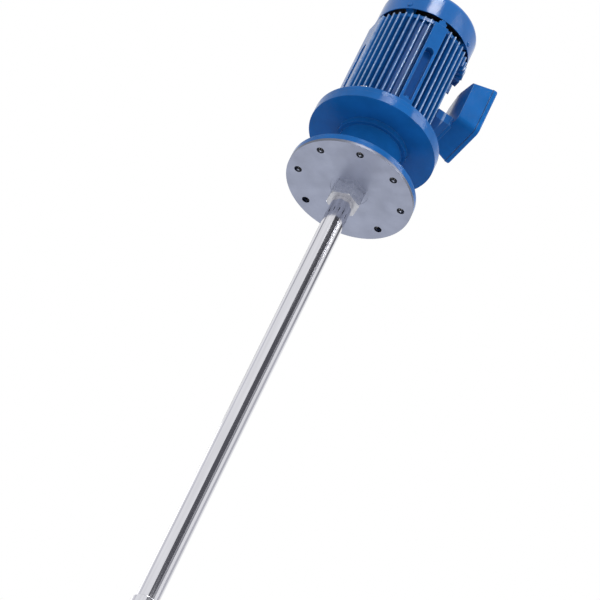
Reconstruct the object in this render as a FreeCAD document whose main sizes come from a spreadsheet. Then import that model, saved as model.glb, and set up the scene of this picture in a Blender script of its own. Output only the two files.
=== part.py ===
import FreeCAD, Part
import os
import re
import Sketcher

# High shear emulsifier: an electric motor on a bearing housing, a mounting plate,
# and a long shaft tube that carries a slotted stator with a toothed rotor in it.
# Z = 0 is the underside of the mounting plate. +Z runs up the axis to the motor,
# and the motor's terminal box is on the +X side. Everything is in millimetres.

# Driving dimensions. A radius is named radius or circle, and a length along the
# axis is named tall, thick, deep, long or level. Angles are in degrees.
SIZES = {
    # clearances
    "fit_gap": 0.05,
    "slip_gap": 0.2,
    "run_gap": 0.08,
    "ring_gap": 0.3,
    # mounting plate and the gasket above it
    "plate_radius": 100,
    "plate_thick": 5,
    "hole_circle": 82.5,
    "hole_radius": 6,
    "hole_count": 8,
    "hole_turn": -18,
    "spot_radius": 30,
    "spot_deep": 0.5,
    "gasket_inner": 62,
    "gasket_wide": 5.5,
    "gasket_thick": 1.5,
    # bearing housing
    "housing_tall": 107,
    "foot_thick": 10,
    "head_thick": 12.5,
    "neck_radius": 50,
    "neck_wall": 8,
    "step_radius": 56,
    "step_tall": 9,
    "boss_wall": 8,
    "root_round": 5,
    "spigot_radius": 65,
    "spigot_wall": 7,
    "spigot_deep": 3.5,
    # hexagon union under the plate
    "union_flats": 46,
    "union_tall": 30,
    "union_turn": -37,
    "union_chamfer": 2.2,
    "union_spigot": 17.5,
    "spigot_reach": 2.5,
    "socket_deep": 18,
    "seal_radius": 15,
    "seal_tall": 7,
    "seal_shelf": 1,
    "seal_skin": 1.5,
    # shaft tube and its bushes
    "tube_radius": 16.85,
    "tube_wall": 2,
    "tube_reach": 858,
    "bush_long": 30,
    "bush_first": 275,
    "bush_step": 280,
    # head of the tool
    "collar_radius": 21.2,
    "collar_tall": 40,
    "collar_socket": 14,
    "collar_chamfer": 2,
    "lower_bush_radius": 13,
    "collar_spigot": 15.5,
    "bush_ledge": 2,
    "stator_radius": 26,
    "stator_wall": 3,
    "stator_top": 6,
    "stator_tall": 38,
    "stator_bevel": 3,
    "slot_wide": 2.5,
    "slot_tall": 18,
    "slot_count": 24,
    "slot_sill": 6,
    "head_screw_circle": 18.4,
    "head_screw_radius": 1.5,
    "head_screw_long": 14,
    "head_screw_cap": 2.6,
    "head_screw_cap_tall": 1.4,
    "head_screw_count": 4,
    "shear_gap": 0.3,
    "rotor_drop": 2,
    "rotor_disc": 5,
    "rotor_tall": 25,
    "rotor_hub": 11,
    "rotor_hub_tall": 19,
    "tooth_thick": 4,
    "tooth_count": 12,
    "tooth_gap": 4.5,
    "blade_count": 4,
    "blade_thick": 3,
    "blade_tall": 14,
    "rotor_key_wide": 4,
    "rotor_key_tall": 3.5,
    "rotor_key_stand": 1.5,
    "rotor_key_long": 15,
    "nose_nut_flats": 18,
    "nose_nut_tall": 7,
    "nose_dome_radius": 8.4,
    "nose_dome_tall": 6,
    "nose_washer_thick": 1.5,
    # drive shaft
    "shaft_radius": 8,
    "journal_radius": 10,
    "shaft_collar": 12,
    "shaft_collar_tall": 3.5,
    "hub_seat_radius": 9.5,
    "nose_radius": 6,
    "nose_grip": 9,
    # pair of ball bearings in the housing
    "pair_radius": 21,
    "pair_wide": 12,
    "pair_shelf": 3,
    "pair_wall": 3.2,
    "clip_thick": 1.75,
    "clip_bite": 1.25,
    "clip_wide": 3.5,
    "clip_mouth": 5,
    # jaw coupling
    "coupling_radius": 20,
    "upper_hub_tall": 25,
    "lower_hub_tall": 21,
    "jaw_tall": 14.5,
    "jaw_space": 16,
    "jaw_angle": 42,
    "arm_angle": 17,
    "jaw_inner": 10.5,
    "spider_bore": 6,
    "grub_radius": 2.5,
    "grub_long": 8,
    # motor shaft
    "motor_reach": 40,
    "motor_journal": 10,
    "motor_shoulder": 12,
    "core_seat": 14,
    "core_collar": 12,
    "fan_seat": 8.5,
    "key_wide": 6,
    "key_tall": 6,
    "key_stand": 2.5,
    "key_long": 20,
    "key_start": 2,
    # motor ball bearings and shaft seal
    "race_radius": 23.5,
    "race_wide": 14,
    "race_wall": 3.6,
    "front_seat": 11,
    "rear_seat": 2,
    "lip_radius": 17.5,
    "lip_tall": 7,
    "washer_thick": 0.8,
    "washer_wide": 5,
    # drive end shield with the motor flange
    "flange_radius": 100,
    "flange_thick": 10,
    "flange_round": 3,
    "shield_tall": 28,
    "dome_radius": 77,
    "dome_foot": 88,
    "dome_straight": 10,
    "dome_floor": 9,
    "hub_wall": 5.5,
    "lock_deep": 5,
    "lock_wall": 5,
    # finned frame
    "frame_long": 170,
    "bore_radius": 60,
    "barrel_wall": 6,
    "fin_radius": 79,
    "fin_thick": 2.8,
    "fin_pitch": 7.65,
    "fin_start": 13.1,
    "fins_left": 8,
    "fins_right": 9,
    "pad_radius": 77.5,
    "pad_wide": 23,
    "back_pad_radius": 77.5,
    "back_pad_wide": 44,
    "channel_wide": 14,
    "channel_long": 112,
    "lug_thick": 8,
    "clear_half_angle": 41,
    "clear_long": 151,
    "tie_circle": 71.8,
    "tie_radius": 3,
    "tie_flats": 10,
    "tie_head": 4,
    "tie_bite": 12,
    "tie_count": 4,
    # windings and cores
    "core_long": 95,
    "core_start": 38,
    "air_radius": 37.5,
    "core_slots": 24,
    "core_lip": 1.5,
    "core_slot_wide": 5,
    "core_slot_deep": 14,
    "winding_tall": 24,
    "cage_wide": 12,
    "cage_tall": 7,
    "cage_vanes": 8,
    "cage_vane_tall": 7,
    "bar_circle": 31,
    "bar_radius": 2.5,
    "bar_count": 16,
    # rear end shield
    "rear_radius": 70,
    "rear_tall": 14,
    "rear_rim": 7,
    "rear_floor": 8,
    "rear_hub_tall": 20,
    "lug_wide": 13,
    "lug_reach": 77,
    # fan and cowl
    "fan_radius": 63,
    "fan_start": 31,
    "fan_disc": 2,
    "fan_rise": 6,
    "fan_dish": 14,
    "fan_tall": 20,
    "fan_hub": 15,
    "fan_blade": 1.6,
    "fan_blades": 8,
    "fan_clip": 1.2,
    "cowl_radius": 76.5,
    "cowl_wall": 1.2,
    "cowl_start": 12,
    "cowl_end": 62,
    "cowl_round": 14,
    "grille_inner": 20,
    "grille_ring": 11,
    "grille_web": 3,
    "grille_slot": 4,
    "cowl_lug_turn": 45,
    "cowl_lug_tall": 12,
    "cowl_lug_wide": 12,
    "cowl_lug_deep": 7,
    "cowl_screw_radius": 2,
    "cowl_screw_long": 9,
    "cowl_screw_head": 4,
    "cowl_screw_level": 20,
    # terminal box
    "box_inner": 87.5,
    "box_deep": 34,
    "box_wide": 98,
    "box_tall": 96,
    "box_level": 195,
    "hip_deep": 4,
    "hip_flat": 8,
    "box_draft": 6.5,
    "box_wall": 3.5,
    "box_round": 9,
    "lid_thick": 7.2,
    "lid_skin": 3,
    "lid_lip": 1,
    "lid_round": 2.5,
    "box_seal": 0.8,
    "seat_wide": 50,
    "seat_tall": 17.5,
    "seat_level": 197,
    "seat_hole_rise": 12.5,
    "seat_screw_across": 17,
    "wire_radius": 4,
    "box_screw_radius": 2.5,
    "box_screw_bite": 8,
    "box_screw_head": 4.2,
    "lid_screw_inset": 7,
    "lid_screw_radius": 2,
    "lid_screw_long": 16,
    "lid_screw_head": 3.6,
    "lid_screw_sink": 2.5,
    "block_wide": 52,
    "block_tall": 22,
    "block_thick": 11,
    "block_level": 47,
    "stud_radius": 2,
    "stud_pitch": 15,
    "stud_row": 12,
    "stud_long": 16,
    "link_thick": 1,
    "link_wide": 7,
    "stud_flats": 7,
    "stud_head": 3,
    "gland_level": 40,
    "gland_boss": 14,
    "gland_boss_stand": 1.5,
    "gland_radius": 10,
    "gland_bore": 6.5,
    "gland_flats": 26,
    "gland_flange": 5,
    "gland_neck": 7,
    "gland_nut_tall": 16,
    "gland_inside": 9,
    # bolts of the motor flange
    "bolt_circle": 82.5,
    "bolt_turn": 45,
    "bolt_radius": 5,
    "bolt_long": 20,
    "bolt_flats": 17,
    "bolt_head": 6.4,
    "bolt_scoop": 11.5,
    "lock_washer": 2.2,
    "lock_wide": 3.6,
    "bolt_count": 4,
}

# Levels and radii that several pieces share, worked out from the driving dimensions.
TOP = "(plate_thick + housing_tall)"
HEAD_FOOT = f"({TOP} - head_thick)"
FLANGE_TOP = f"({TOP} + flange_thick)"
FRAME_FOOT = f"({TOP} + shield_tall)"
FRAME_TOP = f"({FRAME_FOOT} + frame_long)"
BARREL = "(bore_radius + barrel_wall)"
PAIR_FOOT = "(plate_thick + pair_shelf)"
PAIR_TOP = f"({PAIR_FOOT} + 2 * pair_wide + fit_gap)"
BOSS_TOP = f"({PAIR_TOP} + 2 * clip_thick)"
SHAFT_END = f"({TOP} - motor_reach)"
SHAFT_TOP = f"({SHAFT_END} - jaw_space)"
HUB_FOOT = f"({SHAFT_TOP} - lower_hub_tall)"
COLLAR_TOP = "(collar_socket - tube_reach)"
STATOR_TOP = f"({COLLAR_TOP} - collar_tall)"
STATOR_ROOF = f"({STATOR_TOP} - stator_top)"
STATOR_FOOT = f"({STATOR_TOP} - stator_tall)"
ROTOR_TOP = f"({STATOR_ROOF} - rotor_drop)"
ROTOR_OUTER = "(stator_radius - stator_wall - shear_gap)"
NOSE_SEAT = f"({ROTOR_TOP} - rotor_hub_tall - nose_washer_thick)"
FRONT_RACE = f"({TOP} + front_seat)"
REAR_RACE = f"({FRAME_TOP} + rear_seat)"
REAR_RACE_TOP = f"({REAR_RACE} + race_wide)"
CORE_FOOT = f"({FRAME_FOOT} + core_start)"
CORE_TOP = f"({CORE_FOOT} + core_long)"
FAN_FOOT = f"({FRAME_TOP} + fan_start)"
FAN_TOP = f"({FAN_FOOT} + fan_tall)"
COWL_FOOT = f"({FRAME_TOP} + cowl_start)"
COWL_TOP = f"({FRAME_TOP} + cowl_end)"
COWL_SCREWS = f"({FRAME_TOP} + cowl_screw_level)"
BOX_OUTER = "(box_inner + box_deep)"
LID_FOOT = f"({BOX_OUTER} + box_seal)"
LID_FACE = f"({LID_FOOT} + lid_thick)"
BOX_FLOOR = "(box_inner + hip_deep + box_wall)"
BOX_MIDDLE = "(box_level + box_tall / 2)"
SEAT_HOLES = "(seat_level + seat_hole_rise)"
BLOCK_FACE = f"({BOX_FLOOR} + block_thick)"
BLOCK_MIDDLE = "(box_level + block_level)"
GLAND_WALL = "(box_wide / 2 + gland_boss_stand)"
GLAND_ACROSS = f"(box_inner + box_deep / 2)"
GLAND_UP = "(box_level + gland_level)"

doc = FreeCAD.newDocument("high_shear_emulsifier")
sheet = doc.addObject("Spreadsheet::Sheet", "sizes")
for row, (alias, value) in enumerate(SIZES.items(), start=1):
    sheet.set(f"A{row}", alias)
    sheet.set(f"B{row}", str(value))
    sheet.setAlias(f"B{row}", alias)
doc.recompute()


def sized(formula):
    """Turn the size names in a formula into references to the sheet."""

    def refer(word):
        name = word.group()
        return f"sizes.{name}" if name in SIZES else name

    return re.sub(r"[a-z_]+", refer, str(formula))


def origin_part(body, role):
    return next(item for item in body.Origin.OriginFeatures if item.Role == role)


def new_piece(label):
    body = doc.addObject("PartDesign::Body", label)
    body.Label = label
    return body


def new_sketch(body, name, plane, offset="0", turned="0"):
    """A sketch on an origin plane of its own body, turned about Z and moved along its normal."""
    sketch = body.newObject("Sketcher::SketchObject", f"{body.Name}_{name}")
    sketch.AttachmentSupport = [(origin_part(body, plane), "")]
    sketch.MapMode = "FlatFace"
    up = FreeCAD.Vector(0, 0, 1) if plane == "XY_Plane" else FreeCAD.Vector(0, 1, 0)
    sketch.AttachmentOffset = FreeCAD.Placement(FreeCAD.Vector(), FreeCAD.Rotation(up, 1))
    sketch.setExpression("AttachmentOffset.Rotation.Angle", sized(turned))
    sketch.setExpression("AttachmentOffset.Base.z", sized(offset))
    sketch.Visibility = False
    return sketch


def pin_point(sketch, line, end, across, along):
    """Hold a point of the sketch at a place worked out from the sheet."""
    for kind, formula in (("DistanceX", across), ("DistanceY", along)):
        index = sketch.addConstraint(Sketcher.Constraint(kind, -1, 1, line, end, 1.0))
        sketch.setExpression(f"Constraints[{index}]", sized(formula))


def add_outline(sketch, points):
    """A closed outline of straight lines through the given points."""
    count = len(points)
    start = sketch.GeometryCount
    spread = [FreeCAD.Vector(index, index * index, 0) for index in range(count)]
    lines = [Part.LineSegment(spread[index], spread[(index + 1) % count]) for index in range(count)]
    sketch.addGeometry(lines, False)
    for index in range(count):
        following = start + (index + 1) % count
        sketch.addConstraint(Sketcher.Constraint("Coincident", start + index, 2, following, 1))
    for index, (across, along) in enumerate(points):
        pin_point(sketch, start + index, 1, across, along)


def add_circle(sketch, across, along, radius):
    circle = Part.Circle(FreeCAD.Vector(1, 1, 0), FreeCAD.Vector(0, 0, 1), 1)
    line = sketch.addGeometry(circle, False)
    pin_point(sketch, line, 3, across, along)
    index = sketch.addConstraint(Sketcher.Constraint("Radius", line, 1.0))
    sketch.setExpression(f"Constraints[{index}]", sized(radius))


def add_axis(sketch, start, end):
    """A construction line that a profile is turned about."""
    segment = Part.LineSegment(FreeCAD.Vector(0, 0, 0), FreeCAD.Vector(1, 1, 0))
    line = sketch.addGeometry(segment, True)
    pin_point(sketch, line, 1, *start)
    pin_point(sketch, line, 2, *end)


def box_points(low_across, high_across, low_along, high_along):
    return [
        (low_across, low_along),
        (high_across, low_along),
        (high_across, high_along),
        (low_across, high_along),
    ]


def wide_points(wide, low_along, high_along):
    """A rectangle centred on the sketch's upright axis."""
    return box_points(f"-({wide}) / 2", f"({wide}) / 2", low_along, high_along)


def hexagon_points(flats, across="0", along="0", turned="0"):
    corners = []
    for corner in range(0, 360, 60):
        reach = f"({flats}) / sqrt(3)"
        corners.append(
            (
                f"({across}) + {reach} * cos(({turned}) + {corner})",
                f"({along}) + {reach} * sin(({turned}) + {corner})",
            )
        )
    return corners


def add_feature(body, kind, name):
    return body.newObject(f"PartDesign::{kind}", f"{body.Name}_{name}")


def turn(body, points, name="turned", axis=None, cut=False, angle=None, turned="0"):
    """Revolve a profile, in radius and height, about Z or about a line of its own."""
    sketch = new_sketch(body, f"{name}_profile", "XZ_Plane", turned=turned)
    add_outline(sketch, points)
    made = add_feature(body, "Groove" if cut else "Revolution", name)
    made.Profile = sketch
    if axis is None:
        made.ReferenceAxis = (origin_part(body, "Z_Axis"), [""])
    else:
        add_axis(sketch, *axis)
        made.ReferenceAxis = (sketch, ["Axis0"])
    made.Angle = 360
    if angle is not None:
        made.Midplane = True
        made.setExpression("Angle", sized(angle))
    return made


def push(body, sketch, length, name, cut=False, reverse=False, both=False):
    """Pad or pocket a sketch by a length: a pad along its normal, a pocket against it."""
    made = add_feature(body, "Pocket" if cut else "Pad", name)
    made.Profile = sketch
    made.setExpression("Length", sized(length))
    made.Reversed = reverse
    if both:
        made.Midplane = True
    return made


def repeat(body, made, count, name, angle="360", backward=False):
    """Copy features round the Z axis."""
    pattern = add_feature(body, "PolarPattern", name)
    pattern.Originals = made if isinstance(made, list) else [made]
    pattern.Axis = (origin_part(body, "Z_Axis"), [""])
    pattern.Reversed = backward
    pattern.setExpression("Angle", sized(angle))
    pattern.setExpression("Occurrences", sized(count))
    body.Tip = pattern


def round_off(body, radius, pick, name):
    """Round the edges of the body that a test picks out."""
    doc.recompute()
    tip = body.Tip
    edges = [f"Edge{index}" for index, edge in enumerate(tip.Shape.Edges, start=1) if pick(edge)]
    if not edges:
        raise ValueError(f"{body.Label}: no edge to round")
    fillet = add_feature(body, "Fillet", name)
    fillet.Base = (tip, edges)
    fillet.setExpression("Radius", sized(radius))


def worked_out(formula):
    """The present value of a formula."""
    return sheet.evalExpression(sized(formula))


def rim_at(radius, height):
    """A test for the circular edge about Z of a given radius and height."""
    wanted_radius = worked_out(radius)
    wanted_height = worked_out(height)

    def is_rim(edge):
        if not isinstance(edge.Curve, Part.Circle):
            return False
        centre = edge.Curve.Center
        off_axis = abs(centre.x) + abs(centre.y)
        off_size = abs(edge.Curve.Radius - wanted_radius) + abs(centre.z - wanted_height)
        return off_axis + off_size < 0.01

    return is_rim


def slanted_corner(edge):
    """A test for the straight corner edges of a box whose depth runs along X."""
    return edge.BoundBox.XLength > 0.5


def ring(label, inner, outer, low, high):
    body = new_piece(label)
    turn(body, box_points(inner, outer, low, high))
    return body


def holes_round(body, radius, circle, count, height, deep, name, turned="0"):
    """Drill a circle of holes down from a height."""
    sketch = new_sketch(body, f"{name}_circle", "XY_Plane", height, turned)
    add_circle(sketch, circle, "0", radius)
    drilled = push(body, sketch, deep, name, cut=True)
    repeat(body, drilled, count, f"{name}_pattern")


def hex_bolts(label, circle, turned, shank, flats, low, seat, top, count):
    """Hexagon bolts parallel to Z with their heads up, as separate solids on one circle."""
    body = new_piece(label)
    stem_circle = new_sketch(body, "shank_circle", "XY_Plane", low, turned)
    add_circle(stem_circle, circle, "0", shank)
    stem = push(body, stem_circle, f"({seat}) - ({low})", "shank")
    head_outline = new_sketch(body, "head_outline", "XY_Plane", seat, turned)
    add_outline(head_outline, hexagon_points(flats, circle, "0", "30"))
    head = push(body, head_outline, f"({top}) - ({seat})", "head")
    repeat(body, [stem, head], count, "pattern")


def lip_seal(label, outer, shaft, low, tall):
    """A shaft seal: a rim against the bore, and a lip just clear of the shaft."""
    body = new_piece(label)
    top = f"({low} + {tall})"
    turn(
        body,
        [
            (outer, low),
            (outer, top),
            (f"{shaft} + seal_skin", top),
            (f"{shaft} + seal_skin", f"{top} - seal_skin"),
            (f"{outer} - seal_skin", f"{top} - seal_skin"),
            (f"{outer} - seal_skin", f"{low} + 2 * seal_skin"),
            (f"{shaft} + run_gap", f"{low} + seal_skin"),
            (f"{shaft} + run_gap", low),
        ],
    )


def race(body, back, face, dip, low, wide, name):
    """A bearing ring with a shallow ball groove in its face."""
    middle = f"({low} + {wide} / 2)"
    turn(
        body,
        [
            (back, low),
            (face, low),
            (face, f"{middle} - {wide} / 4"),
            (dip, f"{middle} - {wide} / 8"),
            (dip, f"{middle} + {wide} / 8"),
            (face, f"{middle} + {wide} / 4"),
            (face, f"{low} + {wide}"),
            (back, f"{low} + {wide}"),
        ],
        name,
    )


def ball_bearing(prefix, bore, outer, wall, wide, levels):
    """The outer ring, inner ring and ball cage of a bearing, or of a matched pair."""
    outer_ring = new_piece(f"{prefix}_outer")
    inner_ring = new_piece(f"{prefix}_inner")
    cage = new_piece(f"{prefix}_cage")
    inner_face = f"({bore} + {wall})"
    outer_face = f"({outer} - {wall})"
    for number, low in enumerate(levels, start=1):
        race(outer_ring, outer, outer_face, f"{outer_face} + {wall} / 3", low, wide, f"ring_{number}")
        race(inner_ring, bore, inner_face, f"{inner_face} - {wall} / 3", low, wide, f"ring_{number}")
        turn(
            cage,
            box_points(
                f"{inner_face} + ring_gap",
                f"{outer_face} - ring_gap",
                f"{low} + {wide} / 5",
                f"{low} + {wide} * 4 / 5",
            ),
            f"ring_{number}",
        )


# Mounting plate and union


def make_mounting_plate():
    body = ring("mounting_plate", "union_spigot + fit_gap", "plate_radius", "0", "plate_thick")
    turn(body, box_points("0", "spot_radius", "-1", "spot_deep"), "spot_face", cut=True)
    through = "plate_thick + 1"
    holes_round(body, "hole_radius", "hole_circle", "hole_count", "plate_thick", through, "holes", "hole_turn")


def make_flange_gasket():
    outer = "gasket_inner + gasket_wide"
    ring("flange_gasket", "gasket_inner", outer, "plate_thick", "plate_thick + gasket_thick")


def make_hex_union():
    """Hexagon socket that holds the shaft tube, clamps the plate and houses the shaft seal."""
    body = new_piece("hex_union")
    sketch = new_sketch(body, "hexagon", "XY_Plane", "-union_tall", "union_turn")
    add_outline(sketch, hexagon_points("union_flats"))
    push(body, sketch, "union_tall + spot_deep", "body")
    turn(body, box_points("seal_radius + 1", "union_spigot", "-1", "plate_thick + spigot_reach"), "spigot")
    seal_floor = "(-seal_tall - seal_shelf)"
    turn(
        body,
        [
            ("0", "-union_tall - 1"),
            ("tube_radius + fit_gap", "-union_tall - 1"),
            ("tube_radius + fit_gap", "socket_deep - union_tall"),
            ("shaft_collar + slip_gap", "socket_deep - union_tall"),
            ("shaft_collar + slip_gap", seal_floor),
            ("seal_radius + fit_gap", seal_floor),
            ("seal_radius + fit_gap", "plate_thick + spigot_reach + 1"),
            ("0", "plate_thick + spigot_reach + 1"),
        ],
        "bore",
        cut=True,
    )
    # A turned cone takes the corners off the lower end of the hexagon.
    corner = "(union_flats / sqrt(3) + 1)"
    turn(
        body,
        [
            (f"{corner} - 1 - union_chamfer", "-union_tall - 0.5"),
            (corner, "-union_tall - 0.5"),
            (corner, "-union_tall + union_chamfer"),
        ],
        "chamfer",
        cut=True,
    )


def make_shaft_tube():
    ring("shaft_tube", "tube_radius - tube_wall", "tube_radius", "-tube_reach", "socket_deep - union_tall")


def make_guide_bushes():
    """Plain bushes pressed into the tube, which steady the long drive shaft."""
    body = new_piece("guide_bushes")
    outer = "tube_radius - tube_wall - fit_gap"
    for name, top in (("upper", "(-bush_first)"), ("lower", "(-bush_first - bush_step)")):
        turn(body, box_points("shaft_radius + run_gap", outer, f"{top} - bush_long", top), name)


# Head of the tool


def make_head_collar():
    """Collar on the end of the tube, which holds the lower bush and carries the stator."""
    body = new_piece("head_collar")
    ledge = f"({STATOR_ROOF} + bush_ledge)"
    turn(
        body,
        [
            ("tube_radius + fit_gap", COLLAR_TOP),
            ("collar_radius - collar_chamfer", COLLAR_TOP),
            ("collar_radius", f"{COLLAR_TOP} - collar_chamfer"),
            ("collar_radius", STATOR_TOP),
            ("collar_spigot", STATOR_TOP),
            ("collar_spigot", STATOR_ROOF),
            ("shaft_radius + 1", STATOR_ROOF),
            ("shaft_radius + 1", ledge),
            ("lower_bush_radius + fit_gap", ledge),
            ("lower_bush_radius + fit_gap", "-tube_reach"),
            ("tube_radius + fit_gap", "-tube_reach"),
        ],
    )
    holes_round(
        body,
        "head_screw_radius + fit_gap",
        "head_screw_circle",
        "head_screw_count",
        f"{STATOR_ROOF} + head_screw_long + 1",
        "head_screw_long + 2",
        "tapped",
    )


def make_lower_bush():
    ledge = f"({STATOR_ROOF} + bush_ledge)"
    ring("lower_bush", "shaft_radius + run_gap", "lower_bush_radius", ledge, "-tube_reach")


def make_stator():
    """Slotted stator cup round the rotor."""
    body = new_piece("stator")
    inner = "(stator_radius - stator_wall)"
    turn(
        body,
        [
            ("collar_spigot + fit_gap", STATOR_TOP),
            ("stator_radius - stator_bevel", STATOR_TOP),
            ("stator_radius", f"{STATOR_TOP} - stator_bevel"),
            ("stator_radius", STATOR_FOOT),
            (inner, STATOR_FOOT),
            (inner, STATOR_ROOF),
            ("collar_spigot + fit_gap", STATOR_ROOF),
        ],
    )
    sketch = new_sketch(body, "slot_outline", "YZ_Plane", f"{inner} - 1")
    sill = f"({STATOR_FOOT} + slot_sill)"
    add_outline(sketch, wide_points("slot_wide", sill, f"{sill} + slot_tall"))
    slot = push(body, sketch, "stator_wall + 2", "slot", cut=True, reverse=True)
    repeat(body, slot, "slot_count", "slots")
    holes_round(
        body,
        "head_screw_radius + fit_gap",
        "head_screw_circle",
        "head_screw_count",
        f"{STATOR_TOP} + 1",
        "stator_top + 2",
        "screw_holes",
    )


def make_stator_screws():
    """Screws from inside the cup up into the collar, with their heads under the cup's roof."""
    body = new_piece("stator_screws")
    shank = new_sketch(body, "shank_circle", "XY_Plane", STATOR_ROOF)
    add_circle(shank, "head_screw_circle", "0", "head_screw_radius")
    stem = push(body, shank, "head_screw_long", "shank")
    cap = new_sketch(body, "cap_circle", "XY_Plane", STATOR_ROOF)
    add_circle(cap, "head_screw_circle", "0", "head_screw_cap")
    head = push(body, cap, "head_screw_cap_tall", "head", reverse=True)
    repeat(body, [stem, head], "head_screw_count", "pattern")


def make_rotor():
    """Toothed rotor: a hub and disc with blades inside a ring of shearing teeth."""
    body = new_piece("rotor")
    tooth_inner = f"({ROTOR_OUTER} - tooth_thick)"
    disc_foot = f"({ROTOR_TOP} - rotor_disc)"
    turn(
        body,
        [
            ("nose_radius + fit_gap", ROTOR_TOP),
            (ROTOR_OUTER, ROTOR_TOP),
            (ROTOR_OUTER, f"{ROTOR_TOP} - rotor_tall"),
            (tooth_inner, f"{ROTOR_TOP} - rotor_tall"),
            (tooth_inner, disc_foot),
            ("rotor_hub", disc_foot),
            ("rotor_hub", f"{ROTOR_TOP} - rotor_hub_tall"),
            ("nose_radius + fit_gap", f"{ROTOR_TOP} - rotor_hub_tall"),
        ],
    )
    # The blades stand half a tooth round, so that each meets a tooth and not a gap.
    blade = new_sketch(body, "blade_outline", "XY_Plane", f"{disc_foot} + 1", "180 / tooth_count")
    across = f"{tooth_inner} + tooth_thick / 2"
    add_outline(blade, box_points("rotor_hub - 1", across, "-blade_thick / 2", "blade_thick / 2"))
    made = push(body, blade, "blade_tall + 1", "blade", reverse=True)
    repeat(body, made, "blade_count", "blades")
    gap_outline = new_sketch(body, "gap_outline", "YZ_Plane", f"{tooth_inner} - 1")
    add_outline(gap_outline, wide_points("tooth_gap", f"{ROTOR_TOP} - rotor_tall - 1", disc_foot))
    gap = push(body, gap_outline, "tooth_thick + 2", "gap", cut=True, reverse=True)
    repeat(body, gap, "tooth_count", "teeth")
    keyway = new_sketch(body, "keyway_outline", "XY_Plane", f"{ROTOR_TOP} + 1", "180 / tooth_count")
    crown = "nose_radius + rotor_key_stand + fit_gap"
    add_outline(keyway, box_points("0", crown, "-rotor_key_wide / 2 - fit_gap", "rotor_key_wide / 2 + fit_gap"))
    push(body, keyway, "rotor_hub_tall + 2", "keyway", cut=True)


def key_box(stand, tall, wide, radius, gap="0"):
    """The outline of a key on a shaft, or with a gap of the seat cut for it."""
    crown = f"{radius} + {stand}"
    return box_points(f"{crown} - {tall} - {gap}", f"{crown} + {gap}", f"-{wide} / 2 - {gap}", f"{wide} / 2 + {gap}")


def make_rotor_key():
    body = new_piece("rotor_key")
    low = f"{ROTOR_TOP} - rotor_hub_tall / 2 - rotor_key_long / 2"
    sketch = new_sketch(body, "outline", "XY_Plane", low, "180 / tooth_count")
    add_outline(sketch, key_box("rotor_key_stand", "rotor_key_tall", "rotor_key_wide", "nose_radius"))
    push(body, sketch, "rotor_key_long", "bar")


def make_rotor_washer():
    low = f"{ROTOR_TOP} - rotor_hub_tall - nose_washer_thick"
    ring("rotor_washer", "nose_radius + fit_gap", "rotor_hub", low, f"{ROTOR_TOP} - rotor_hub_tall")


def make_rotor_nut():
    """Domed nut on the end of the drive shaft."""
    body = new_piece("rotor_nut")
    sketch = new_sketch(body, "hexagon", "XY_Plane", f"{NOSE_SEAT} - nose_nut_tall")
    add_outline(sketch, hexagon_points("nose_nut_flats"))
    push(body, sketch, "nose_nut_tall", "body")
    foot = f"({NOSE_SEAT} - nose_nut_tall)"
    turn(
        body,
        [
            ("0", f"{foot} + 1"),
            ("nose_dome_radius", f"{foot} + 1"),
            ("nose_dome_radius", f"{foot} - nose_dome_tall / 5"),
            ("nose_dome_radius * 0.8", f"{foot} - nose_dome_tall * 2 / 3"),
            ("nose_dome_radius * 0.4", f"{foot} - nose_dome_tall"),
            ("0", f"{foot} - nose_dome_tall"),
        ],
        "dome",
    )
    bore = box_points("0", "nose_radius + fit_gap", f"{NOSE_SEAT} - nose_grip - fit_gap", f"{NOSE_SEAT} + 1")
    turn(body, bore, "bore", cut=True)


def make_drive_shaft():
    """Long shaft from the coupling down to the rotor."""
    body = new_piece("drive_shaft")
    nose = f"({NOSE_SEAT} - nose_grip)"
    clip_top = f"({PAIR_TOP} + clip_thick)"
    turn(
        body,
        [
            ("0", nose),
            ("nose_radius", nose),
            ("nose_radius", ROTOR_TOP),
            ("shaft_radius", ROTOR_TOP),
            ("shaft_radius", f"{PAIR_FOOT} - shaft_collar_tall"),
            ("shaft_collar", f"{PAIR_FOOT} - shaft_collar_tall"),
            ("shaft_collar", PAIR_FOOT),
            ("journal_radius", PAIR_FOOT),
            ("journal_radius", PAIR_TOP),
            ("journal_radius - clip_bite", PAIR_TOP),
            ("journal_radius - clip_bite", clip_top),
            ("journal_radius", clip_top),
            ("journal_radius", HUB_FOOT),
            ("hub_seat_radius", HUB_FOOT),
            ("hub_seat_radius", SHAFT_TOP),
            ("0", SHAFT_TOP),
        ],
    )
    low = f"{ROTOR_TOP} - rotor_hub_tall / 2 - rotor_key_long / 2 - fit_gap"
    keyway = new_sketch(body, "keyway_outline", "XY_Plane", low, "180 / tooth_count")
    add_outline(keyway, key_box("rotor_key_stand", "rotor_key_tall", "rotor_key_wide", "nose_radius", "fit_gap"))
    push(body, keyway, "rotor_key_long + 2 * fit_gap", "keyway", cut=True, reverse=True)


# Bearing housing and what it holds


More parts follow.
